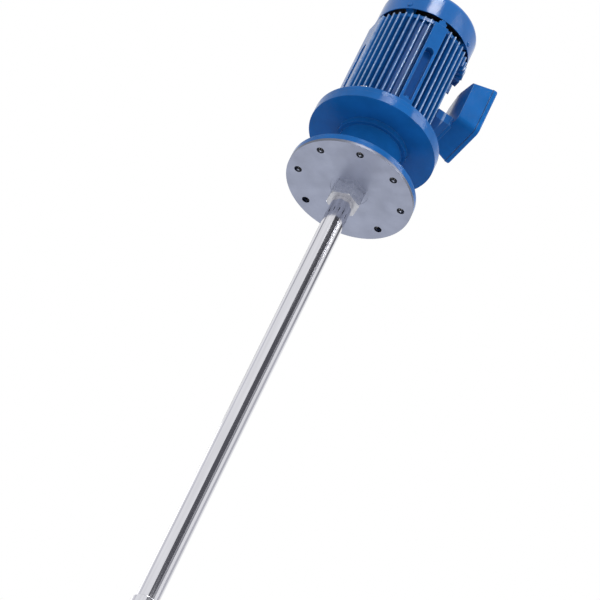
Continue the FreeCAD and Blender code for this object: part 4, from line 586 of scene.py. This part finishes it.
# Each set of bearings, the body that its balls turn with, and how many bearings it holds
BEARINGS = (
    ("front_bearing", "motor_ball_cages", 1),
    ("rear_bearing", "motor_ball_cages", 1),
    ("spindle_bearings", "spindle_ball_cages", 2),
)
RING_GAP = 0.3 * MM  # between a cage and the rings of its bearing
BALL_SEGMENTS, BALL_RINGS, RIVET_SIDES = 28, 16, 12
POINTS_PER_BALL = 24
CAGE_SHARE = 0.5  # how much of the gap between the rings a cage fills
# In thicknesses of the cage's sheet
ROOM_BETWEEN = 4
CLEAR_OF_BALL = 0.7
RIVET_RADIUS, RIVET_LENGTH = 1.3, 3.6


def ball_tree():
    """Bearing balls at even steps round the shaft."""
    tree, given = opened("bearing_balls", "Balls", ("Pitch radius", "Ball radius", "Level"))
    ring = point_ring(tree, given["Balls"], given["Pitch radius"], given["Level"])
    size = {"Segments": BALL_SEGMENTS, "Rings": BALL_RINGS, "Radius": given["Ball radius"]}
    ball = add_node(tree, "GeometryNodeMeshUVSphere", size)
    balls = add_node(tree, "GeometryNodeInstanceOnPoints", {"Points": ring, "Instance": ball})
    return closed(tree, balls, given["Stuff"])


def cage_tree():
    """A pressed ball cage: two ribbons that bulge over each ball, riveted between balls."""
    names = ("Pitch radius", "Ball radius", "Level", "Sheet", "Width")
    tree, given = opened("ribbon_cage", "Balls", names)
    balls = given["Balls"]
    pitch, ball, level, sheet, width = (given[name] for name in names)
    points = add_node(tree, MATH, {0: balls, 1: POINTS_PER_BALL}, operation="MULTIPLY")
    # How far each point of a ribbon lies to the side of the nearest ball's middle
    girth = add_node(tree, MATH, {0: pitch, 1: math.tau}, operation="MULTIPLY")
    arc = add_node(tree, MATH, {0: girth, 1: balls}, operation="DIVIDE")
    phase = phase_of(tree, POINTS_PER_BALL)
    aside = add_node(tree, MATH, {0: phase, 1: arc}, operation="MULTIPLY")
    # There it rises in an arch round the ball, and lies flat on the other ribbon past that
    spare = add_node(tree, MATH, {0: sheet, 1: CLEAR_OF_BALL}, operation="MULTIPLY")
    bulge = add_node(tree, MATH, {0: ball, 1: spare}, operation="ADD")
    reach = add_node(tree, MATH, {0: bulge, 1: 2.0}, operation="POWER")
    used = add_node(tree, MATH, {0: aside, 1: 2.0}, operation="POWER")
    left = add_node(tree, MATH, {0: reach, 1: used}, operation="SUBTRACT")
    left = add_node(tree, MATH, {0: left, 1: 0.0}, operation="MAXIMUM")
    arch = add_node(tree, MATH, {0: left}, operation="SQRT")
    half = add_node(tree, MATH, {0: sheet, 1: 0.5}, operation="MULTIPLY")
    rise = add_node(tree, MATH, {0: arch, 1: half}, operation="MAXIMUM")
    section = {"Width": width, "Height": sheet}
    strip = add_node(tree, "GeometryNodeCurvePrimitiveQuadrilateral", section)
    parts = add_node(tree, "GeometryNodeJoinGeometry")
    for side in (1, -1):
        bent = add_node(tree, MATH, {0: rise, 1: side}, operation="MULTIPLY")
        height = add_node(tree, MATH, {0: bent, 1: level}, operation="ADD")
        ribbon = swept(tree, curve_ring(tree, points, pitch, height), strip)
        tree.links.new(ribbon.outputs["Mesh"], parts.inputs["Geometry"])
    half_step = add_node(tree, MATH, {0: math.pi, 1: balls}, operation="DIVIDE")
    spots = point_ring(tree, balls, pitch, level, half_step)
    wide = add_node(tree, MATH, {0: sheet, 1: RIVET_RADIUS}, operation="MULTIPLY")
    long = add_node(tree, MATH, {0: sheet, 1: RIVET_LENGTH}, operation="MULTIPLY")
    size = {"Vertices": RIVET_SIDES, "Radius": wide, "Depth": long}
    rivet = add_node(tree, "GeometryNodeMeshCylinder", size)
    rivets = add_node(tree, "GeometryNodeInstanceOnPoints", {"Points": spots, "Instance": rivet})
    tree.links.new(rivets.outputs["Instances"], parts.inputs["Geometry"])
    return closed(tree, parts, given["Stuff"])


# The weld round the head

POINTS_PER_RIPPLE = 8
BEAD_SIDES = 12
# Each ripple is thickest where it was laid last and falls away towards the next one
RIPPLE_FALL, RIPPLE_MIDDLE = -0.26, 0.87
# The middle of the bead is this many half widths of it off the tube and above the collar
BEAD_OUT, BEAD_UP = 0.5, 0.2


def weld_tree():
    """A weld bead round the shaft, laid as overlapping ripples."""
    tree, given = opened("weld_bead", "Ripples", ("Radius", "Level", "Bead"))
    steps = {0: given["Ripples"], 1: POINTS_PER_RIPPLE}
    points = add_node(tree, MATH, steps, operation="MULTIPLY")
    loop = curve_ring(tree, points, given["Radius"], given["Level"])
    phase = phase_of(tree, POINTS_PER_RIPPLE)
    falls = {0: phase, 1: RIPPLE_FALL, 2: RIPPLE_MIDDLE}
    fall = add_node(tree, MATH, falls, operation="MULTIPLY_ADD")
    swelled = add_node(tree, "GeometryNodeSetCurveRadius", {"Curve": loop, "Radius": fall})
    girth = {"Resolution": BEAD_SIDES, "Radius": given["Bead"]}
    section = add_node(tree, "GeometryNodeCurvePrimitiveCircle", girth)
    return closed(tree, swept(tree, swelled, section), given["Stuff"])


# The stage: lamps, cards, world, floor and camera

# Each lamp is a name, its degrees round the shaft, its distance and height, its own width
# and height, and its watts. The windows shine in the rims and the cowl.
LAMPS = (
    ("key_lamp", 2, 3.2, 0.9, 1.8, 1.8, 5),
    ("side_lamp", 75, 3.0, 0.4, 1.6, 1.6, 14),
    ("rear_lamp", 195, 3.0, 0.9, 1.6, 1.6, 12),
    ("right_window", 42, 2.0, 1.79, 1.07, 0.14, 12),
    ("left_window", -21, 2.0, 2.07, 0.86, 0.20, 28),
)
MOTOR_FOOT = Vector((0, 0, 0.1))  # what the lamps face

# Grey cards that only polished metal sees. Each is a name, its middle and half its width in
# degrees round the shaft, its distance, the heights of its foot and top, and its shades at
# and below FADE_FOOT and at its top. The low ones show in the tube from above.
DARK = "#505055"
CARDS = (
    ("front_card", 5, 25, 2.0, 0.55, 1.70, "#5e5e64", "#444448"),
    ("front_fringe", 38, 8, 2.0, 0.55, 1.70, "#9a9aa0", "#c4c4ca"),
    ("side_card", 94, 16, 2.0, 0.55, 1.67, "#c8c8ce", "#303036"),
    ("left_card", 246, 9, 2.0, 0.55, 1.67, "#dedee4", "#98989e"),
    ("back_card", 179, 11, 2.0, 0.55, 1.67, DARK, DARK),
    ("low_front_card", 32, 12, 1.2, -0.90, -0.30, DARK, DARK),
    ("low_right_card", 112, 6, 1.2, -0.90, -0.30, DARK, DARK),
    ("low_back_card", 246, 12, 1.2, -0.90, -0.30, DARK, DARK),
    ("low_left_card", 322, 6, 1.2, -0.90, -0.30, DARK, DARK),
)
FADE_FOOT = 1.25
FACES_PER_HALF = 4  # or a few more, as each card bends round the mixer

WHITE = (1.0, 1.0, 1.0)
ROOM_LIGHT = 0.78
FLOOR_REACH = 40.0
FLOOR_DROP = 2 * MM
FLOOR_IN_METAL = 0.85
FLOOR_OWN = 0.5

PICTURE = 600  # the photograph is this many pixels wide and high
ORIGIN_ACROSS = 349.2  # where the plate's centre lies in it, in pixels from the left
ORIGIN_DOWN = 190.1  # and from the top
SCALE = 0.673  # pixels for a millimetre at the plate's centre
SENSOR = 36.0  # mm
FAR_CLIP = 100  # metres, past the far edge of the floor


def round_about(azimuth, reach, height):
    """A place this far from the shaft and this high, at so many degrees round it."""
    turn = math.radians(azimuth)
    return Vector((math.sin(turn) * reach, -math.cos(turn) * reach, height))


def make_lamps():
    """Sets up the soft lamps."""
    for name, azimuth, reach, height, wide, tall, power in LAMPS:
        data = bpy.data.lights.new(name, "AREA")
        data.shape = "RECTANGLE"
        data.size, data.size_y, data.energy = wide, tall, power
        lamp = placed(name, data)
        place = round_about(azimuth, reach, height)
        lamp.location = place
        lamp.rotation_euler = (place - MOTOR_FOOT).to_track_quat("Z", "Y").to_euler()


def card_shade(name, top, foot_shade, top_shade):
    """A plain glow that fades along the height of a card."""
    tree, point = started(name)
    height = add_node(tree, "ShaderNodeSeparateXYZ", {"Vector": point}).outputs["Z"]
    climb = {"Value": height, "From Min": FADE_FOOT, "From Max": top}
    share = add_node(tree, "ShaderNodeMapRange", climb)
    foot, head = (solid(linear(shade)) for shade in (foot_shade, top_shade))
    colour = add_node(tree, MIX, {0: share, FIRST: foot, SECOND: head}, data_type="RGBA")
    glow = add_node(tree, "ShaderNodeEmission", {"Color": colour})
    add_node(tree, "ShaderNodeOutputMaterial", {"Surface": glow})
    return bpy.data.materials[name]


def make_cards():
    """Stands the cards round the mixer."""
    for name, azimuth, half, reach, low, high, foot_shade, top_shade in CARDS:
        sheet = bmesh.new()
        edges = []
        step = max(1, half // FACES_PER_HALF)
        for turn in range(azimuth - half, azimuth + half + 1, step):
            foot, top = (sheet.verts.new(round_about(turn, reach, z)) for z in (low, high))
            edges.append((foot, top))
        for (foot, top), (next_foot, next_top) in zip(edges, edges[1:]):
            sheet.faces.new((foot, next_foot, next_top, top))
        mesh = bpy.data.meshes.new(name)
        sheet.to_mesh(mesh)
        sheet.free()
        mesh.materials.append(card_shade(name, high, foot_shade, top_shade))
        card = placed(name, mesh)
        for ray in ("camera", "diffuse", "shadow", "transmission"):
            setattr(card, "visible_" + ray, False)


def make_world(scene):
    """Plain light for the object, and white where the camera, metal and glass look past it."""
    world = bpy.data.worlds.new("studio")
    world.use_nodes = True
    tree = world.node_tree
    tree.nodes.clear()
    path = add_node(tree, "ShaderNodeLightPath").outputs
    rays = {0: path["Is Camera Ray"], 1: path["Is Glossy Ray"]}
    seen = add_node(tree, MATH, rays, operation="MAXIMUM")
    seen = add_node(tree, MATH, {0: seen, 1: path["Is Transmission Ray"]}, operation="MAXIMUM")
    room, backdrop = (
        add_node(tree, "ShaderNodeBackground", {"Color": solid(WHITE), "Strength": strength})
        for strength in (ROOM_LIGHT, 1.0)
    )
    both = add_node(tree, "ShaderNodeMixShader", {0: seen, 1: room, 2: backdrop})
    add_node(tree, "ShaderNodeOutputWorld", {"Surface": both})
    scene.world = world


def make_floor(shade):
    """A pale floor under the head. Its underside is clear, because the camera looks up."""
    tree = empty_tree("pale_floor")
    pale = {"Color": solid(shade)}
    side = add_node(tree, "ShaderNodeNewGeometry").outputs["Backfacing"]
    path = add_node(tree, "ShaderNodeLightPath").outputs
    clear = add_node(tree, "ShaderNodeBsdfTransparent")
    matt = add_node(tree, "ShaderNodeBsdfDiffuse", pale)
    # Metal above the floor shows it as pale as the rest of the room. To the camera half its
    # brightness is its own, so it stays pale there too and still takes a shadow.
    own = add_node(tree, "ShaderNodeEmission", pale)
    half = add_node(tree, "ShaderNodeMixShader", {0: FLOOR_OWN, 1: matt, 2: own})
    seen = add_node(tree, "ShaderNodeMixShader", {0: path["Is Camera Ray"], 1: matt, 2: half})
    room = add_node(tree, "ShaderNodeEmission", {**pale, "Strength": FLOOR_IN_METAL})
    top = add_node(tree, "ShaderNodeMixShader", {0: path["Is Glossy Ray"], 1: seen, 2: room})
    both = add_node(tree, "ShaderNodeMixShader", {0: side, 1: top, 2: clear})
    add_node(tree, "ShaderNodeOutputMaterial", {"Surface": both})
    grid = bmesh.new()
    bmesh.ops.create_grid(grid, x_segments=1, y_segments=1, size=FLOOR_REACH)
    bmesh.ops.translate(grid, verts=grid.verts, vec=(0, 0, CAD_BOX[0][2] - FLOOR_DROP))
    mesh = bpy.data.meshes.new("floor")
    grid.to_mesh(mesh)
    grid.free()
    mesh.materials.append(bpy.data.materials["pale_floor"])
    floor = placed("floor", mesh)
    floor.visible_shadow = False


def picture_axes(stage):
    """The picture's right and up, and the way back to the camera, as world directions."""
    across = Vector((math.cos(stage.azimuth), math.sin(stage.azimuth), 0))
    level = math.cos(stage.elevation)
    x, y = math.sin(stage.azimuth) * level, -math.cos(stage.azimuth) * level
    back = Vector((x, y, math.sin(stage.elevation)))
    over = back.cross(across)
    right = across * math.cos(stage.roll) + over * math.sin(stage.roll)
    up = over * math.cos(stage.roll) - across * math.sin(stage.roll)
    return right, up, back


def make_camera(scene, stage):
    """The photograph's camera, turned so that the plate's centre falls in its place."""
    right, up, back = picture_axes(stage)
    data = bpy.data.cameras.new("camera")
    camera = placed("camera", data)
    camera.location = back * stage.distance
    aim = right * (PICTURE / 2 - ORIGIN_ACROSS) + up * (ORIGIN_DOWN - PICTURE / 2)
    level = (camera.location - aim * MM / SCALE).normalized()
    across = up.cross(level).normalized()
    turn = Matrix((across, level.cross(across), level)).transposed()
    camera.rotation_euler = turn.to_euler()
    data.sensor_width = SENSOR
    data.lens = SCALE * stage.distance / MM / PICTURE * SENSOR
    data.clip_end = FAR_CLIP
    scene.camera = camera


# Operators


class MIXER_OT_enamel(bpy.types.Operator):
    """Sprays the castings, the terminal box and the cowl"""

    bl_idname = "mixer.enamel"
    bl_label = "Enamelled castings and cowl"

    def execute(self, context):
        paint = context.scene.mixer_paint
        blue, skin, edge = paint.enamel, paint.skin, paint.edge
        casting = sprayed_enamel("enamel_on_casting", blue, skin, edge, wear_and_highlight=0.5)
        dress(casting, "motor_flange", "rear_end_shield", "drive_end_bolts", "rear_end_bolts")
        # Sheet has no cast skin, so its paint is the smoothest and shines the most
        sheet = sprayed_enamel("enamel_on_sheet", blue, skin / 4, edge, wear_and_highlight=0.4, gloss=0.20)
        dress(sheet, "fan_cowl", "cowl_screws")
        # The tips of the fins carry a painted highlight, and their edges the palest wear and
        # painted highlight
        fins = sprayed_enamel("enamel_on_fins", blue, skin, edge * 1.6, wear_and_highlight=0.9, finned=True)
        dress(fins, "motor_frame")
        # Spray that has drifted over the rubber seal of the terminal box
        drift = sprayed_enamel("enamel_over_rubber", linear("#143f6e"), 0.0, edge, wear_and_highlight=0.2)
        dress(drift, "terminal_box_gasket")
        # The housing's lower flange carries the eight holes of the mounting, with painted shade on
        # their walls
        shaded_holes = sprayed_enamel(
            "enamel_on_drilled_casting", blue, skin, edge, wear_and_highlight=0.5, shaded_holes=True
        )
        dress(shaded_holes, "bearing_housing")
        # The box is die cast, so its skin is finer. Its paint has dulled the most, and its edges
        # carry the strongest painted highlight with their wear.
        dull = sprayed_enamel(
            "enamel_on_die_casting", blue, skin / 2, edge * 1.4, wear_and_highlight=0.9, gloss=0.03, wear_and_highlight_gain=12.0
        )
        dress(dull, "terminal_box_base", "terminal_box_lid")
        return {"FINISHED"}


class MIXER_OT_plate_and_tube(bpy.types.Operator):
    """Finishes the mounting plate, the union, the tube and the head"""

    bl_idname = "mixer.plate_and_tube"
    bl_label = "Plate, tube and head"

    def execute(self, context):
        metal = context.scene.mixer_metal
        # The plate is turned coarsely, and its rim and holes carry painted shade
        plate = turned_metal(
            "faced_stainless", metal.plate,
            roughness=0.42, feed=metal.feed, depth=0.02 * MM, anisotropy=0.25, rim=0.3,
        )
        dress(plate, "mounting_plate")
        # The head is turned finely, so its rings are closer and its shine is sharper
        head = turned_metal(
            "turned_stainless", metal.head,
            roughness=0.28, feed=metal.feed / 2, depth=0.02 * MM, anisotropy=0.4,
        )
        dress(head, "stator", "rotor")
        dress(polished_pipe("buffed_pipe", metal.tube, 0.07), "shaft_tube", "head_collar")
        # The union is left as it was milled from bar, so it is duller and greyer
        milled = bare_metal(
            "milled_stainless", linear("#e0e1e6"), linear("#cfd1d8"),
            roughness=0.32, grain=0.8 * MM, depth=0.02 * MM, edge_round=0.6 * MM,
        )
        dress(milled, "hex_union")
        return {"FINISHED"}


class MIXER_OT_shafts_and_screws(bpy.types.Operator):
    """Finishes the shafts, keys, screws, nuts, clips and bearing rings"""

    bl_idname = "mixer.shafts_and_screws"
    bl_label = "Shafts, screws and bearing rings"

    def execute(self, context):
        # Bright zinc plating has a faint blue cast and milky patches
        zinc = bare_metal(
            "zinc_plated_steel", context.scene.mixer_metal.zinc, linear("#9da2ad"),
            roughness=0.30, grain=0.5 * MM, depth=0.01 * MM,
        )
        dress(zinc, "stator_screws", "rotor_key", "rotor_washer", "rotor_nut", "motor_key")
        dress(zinc, "flange_bolts", "lid_screws", "box_base_screws")
        # Ground shafts are even and grey, with hardly any grain
        ground = bare_metal(
            "ground_steel", linear("#b5b5b8"), linear("#a2a2a6"),
            roughness=0.22, grain=0.3 * MM, depth=0.004 * MM,
        )
        dress(ground, "drive_shaft", "motor_shaft")
        # Spring steel is blackened and oiled, with brown where the oil has thinned
        oiled = bare_metal(
            "oiled_spring_steel", linear("#3a3a40"), linear("#4a4340"),
            roughness=0.34, grain=0.6 * MM, depth=0.01 * MM,
        )
        dress(oiled, "bore_circlip", "shaft_circlip", "fan_circlip")
        dress(oiled, "coupling_grub_screws", "flange_washers", "preload_washer")
        # Bearing steel is lapped, so it is nearly a mirror
        lapped = bare_metal(
            "lapped_bearing_steel", linear("#cfd1d4"), linear("#c4c6cb"),
            roughness=0.10, grain=0.4 * MM, depth=0.002 * MM,
        )
        dress(lapped, *(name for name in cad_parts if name.endswith(("_outer", "_inner"))))
        return {"FINISHED"}


class MIXER_OT_motor_inside(bpy.types.Operator):
    """Finishes the cores, windings, rotor cage, coupling and terminals"""

    bl_idname = "mixer.motor_inside"
    bl_label = "Inside of the motor"

    def execute(self, context):
        core = stacked_sheet("stacked_core_sheet", linear("#7d7f84"), 1.5 * MM)
        dress(core, "motor_stator_core", "motor_rotor_core")
        # Aluminium cast under pressure is pale and frosty
        cast = bare_metal(
            "pressure_cast_aluminium", linear("#c6c8cb"), linear("#adb0b4"),
            roughness=0.42, grain=1.2 * MM, depth=0.05 * MM,
        )
        dress(cast, "motor_rotor_cage")
        # Turned aluminium is whiter than steel, with the same bright fans
        turned = turned_metal(
            "turned_aluminium", linear("#cdced1"),
            roughness=0.30, feed=0.6 * MM, depth=0.02 * MM, anisotropy=0.4,
        )
        dress(turned, "coupling_hub_lower", "coupling_hub_upper")
        # Machined brass is yellow and clean, because the box keeps it dry
        brass = bare_metal(
            "bright_brass", linear("#d3b066"), linear("#bb9450"),
            roughness=0.24, grain=0.6 * MM, depth=0.01 * MM,
        )
        dress(brass, "terminal_screws", "terminal_links")
        # Varnish lies over the copper wire like amber glass, darker where it pooled
        winding = moulded_stuff(
            "varnished_copper_wire", linear("#9c4f26"), linear("#5f2a12"),
            roughness=0.26, grain=0.9 * MM, depth=0.3 * MM, shine=0.7,
        )
        dress(winding, "motor_windings")
        return {"FINISHED"}


class MIXER_OT_bearings(bpy.types.Operator):
    """Fits the balls and the riveted ribbon cages of the four ball bearings"""

    bl_idname = "mixer.bearings"
    bl_label = "Balls and cages of the bearings"

    def execute(self, context):
        # Balls are polished to a mirror
        ball_steel = bare_metal(
            "polished_ball_steel", linear("#d6d8db"), linear("#caccd1"),
            roughness=0.07, grain=0.4 * MM, depth=0.001 * MM,
        )
        # Pressed cages are brassy, with a drawn grain and darker hollows
        ribbon = bare_metal(
            "pressed_brass", linear("#cda75c"), linear("#a98645"),
            roughness=0.30, grain=0.5 * MM, depth=0.008 * MM,
        )
        settings = context.scene.mixer_bearings
        balls, cages = ball_tree(), cage_tree()
        for name, body, levels in BEARINGS:
            outer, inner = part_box(name + "_outer"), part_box(name + "_inner")
            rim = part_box(name + "_cage")[1].x + RING_GAP
            race = inner[1].x
            groove = (outer[1].x - rim) / 3  # each ring is ground out by a third of its wall
            foot, top = outer[0].z, outer[1].z
            radius = (rim - race) / 2 + groove - settings.play
            pitch = (rim + race) / 2
            count = int(math.tau * pitch / (2 * radius + ROOM_BETWEEN * settings.sheet))
            shared = {"Balls": count, "Pitch radius": pitch, "Ball radius": radius}
            width = (rim - race) * CAGE_SHARE
            row = (top - foot) / levels
            for number in range(levels):
                shared["Level"] = foot + row * (number + 0.5)
                place = f"{name}_{number + 1}"
                mesh = grown(place + "_balls", balls, {**shared, "Stuff": ball_steel})
                plain_piece(place + "_balls", mesh, ball_steel, body)
                more = {"Sheet": settings.sheet, "Width": width, "Stuff": ribbon}
                mesh = grown(place + "_ribbon", cages, {**shared, **more})
                cage = plain_piece(place + "_ribbon", mesh, ribbon, body)
                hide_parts(name + "_cage")
        return {"FINISHED"}


class MIXER_OT_weld(bpy.types.Operator):
    """Lays the weld bead between the shaft tube and the collar of the head"""

    bl_idname = "mixer.weld"
    bl_label = "Weld of the head"

    def execute(self, context):
        weld = context.scene.mixer_weld
        # Heat has left straw and grey tints beside a bright, rippled bead
        tinted = bare_metal(
            "weld_metal", linear("#b9b6b0"), linear("#8f8778"),
            roughness=0.30, grain=1.2 * MM, depth=0.02 * MM,
        )
        values = {
            "Ripples": weld.ripples,
            "Radius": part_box("shaft_tube")[1].x + weld.bead * BEAD_OUT,
            "Level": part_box("head_collar")[1].z + weld.bead * BEAD_UP,
            "Bead": weld.bead,
            "Stuff": tinted,
        }
        mesh = grown("head_weld", weld_tree(), values)
        plain_piece("head_weld", mesh, tinted, "casing")
        return {"FINISHED"}


class MIXER_OT_plastics(bpy.types.Operator):
    """Finishes the bushes, seals, gaskets, spider, fan, terminal block and gland"""

    bl_idname = "mixer.plastics"
    bl_label = "Plastics and rubbers"

    def execute(self, context):
        stuff = context.scene.mixer_plastic
        # Filled fluoropolymer is waxy, with faint flecks of its filler
        bush = moulded_stuff(
            "machined_fluoropolymer", stuff.bush, linear("#c4bfae"),
            roughness=0.42, grain=0.5 * MM, depth=0.02 * MM,
        )
        dress(bush, "guide_bushes", "lower_bush")
        # Sheet nitrile is matt black, with a dusty bloom
        rubber = moulded_stuff(
            "sheet_nitrile", stuff.rubber, linear("#232326"),
            roughness=0.62, grain=0.8 * MM, depth=0.04 * MM, shine=0.35,
        )
        dress(rubber, "flange_gasket")
        # Fluororubber seals are dark brown and satin from the mould
        seal = moulded_stuff(
            "moulded_fluororubber", linear("#3a2119"), linear("#2c1a15"),
            roughness=0.48, grain=0.5 * MM, depth=0.02 * MM,
        )
        dress(seal, "shaft_seal", "motor_shaft_seal")
        # Cast polyurethane is a deep, slightly glossy red
        spider = moulded_stuff(
            "cast_polyurethane", stuff.spider, linear("#8e1a14"),
            roughness=0.34, grain=1.0 * MM, depth=0.02 * MM,
        )
        dress(spider, "coupling_spider")
        # Glass in the polyamide breaks its shine into a grey, mottled skin
        black = moulded_stuff(
            "glass_filled_polyamide", stuff.black, linear("#26272b"),
            roughness=0.50, grain=0.7 * MM, depth=0.04 * MM,
        )
        dress(black, "cooling_fan", "cable_gland", "gland_nut")
        # Phenolic is brown black, and shiny where it met the mould
        phenolic = moulded_stuff(
            "moulded_phenolic", linear("#2b211c"), linear("#1f1815"),
            roughness=0.36, grain=0.9 * MM, depth=0.03 * MM,
        )
        dress(phenolic, "terminal_block")
        return {"FINISHED"}


class MIXER_OT_stage(bpy.types.Operator):
    """Sets the floor, the world, the lamps and the camera"""

    bl_idname = "mixer.stage"
    bl_label = "Stage, lamps and camera"

    def execute(self, context):
        scene = context.scene
        make_floor(scene.mixer_stage.floor)
        make_world(scene)
        make_lamps()
        make_cards()
        make_camera(scene, scene.mixer_stage)
        scene.view_settings.view_transform = "Standard"
        return {"FINISHED"}


class MIXER_PT_panel(bpy.types.Panel):
    """Lists the steps that dress the mixer"""

    bl_idname = "MIXER_PT_panel"
    bl_label = "Emulsifier"
    bl_space_type = "VIEW_3D"
    bl_region_type = "UI"
    bl_category = "Emulsifier"

    def draw(self, context):
        for step in STEPS:
            self.layout.operator(step.bl_idname)


SETTINGS = {
    "mixer_paint": PaintSettings,
    "mixer_metal": MetalSettings,
    "mixer_plastic": PlasticSettings,
    "mixer_bearings": BearingSettings,
    "mixer_weld": WeldSettings,
    "mixer_stage": StageSettings,
}
STEPS = (
    MIXER_OT_enamel,
    MIXER_OT_plate_and_tube,
    MIXER_OT_shafts_and_screws,
    MIXER_OT_motor_inside,
    MIXER_OT_bearings,
    MIXER_OT_weld,
    MIXER_OT_plastics,
    MIXER_OT_stage,
)


def register():
    """Adds the settings, the operators and the panel."""
    for name, group in SETTINGS.items():
        bpy.utils.register_class(group)
        setattr(bpy.types.Scene, name, bpy.props.PointerProperty(type=group))
    for step in STEPS:
        bpy.utils.register_class(step)
    bpy.utils.register_class(MIXER_PT_panel)


def unregister():
    """Takes them out again, in the opposite order."""
    bpy.utils.unregister_class(MIXER_PT_panel)
    for step in reversed(STEPS):
        bpy.utils.unregister_class(step)
    for name, group in reversed(SETTINGS.items()):
        delattr(bpy.types.Scene, name)
        bpy.utils.unregister_class(group)


def main():
    """Runs every step in order."""
    register()
    for step in STEPS:
        getattr(bpy.ops.mixer, step.bl_idname.removeprefix("mixer."))()


if __name__ == "__main__":
    main()
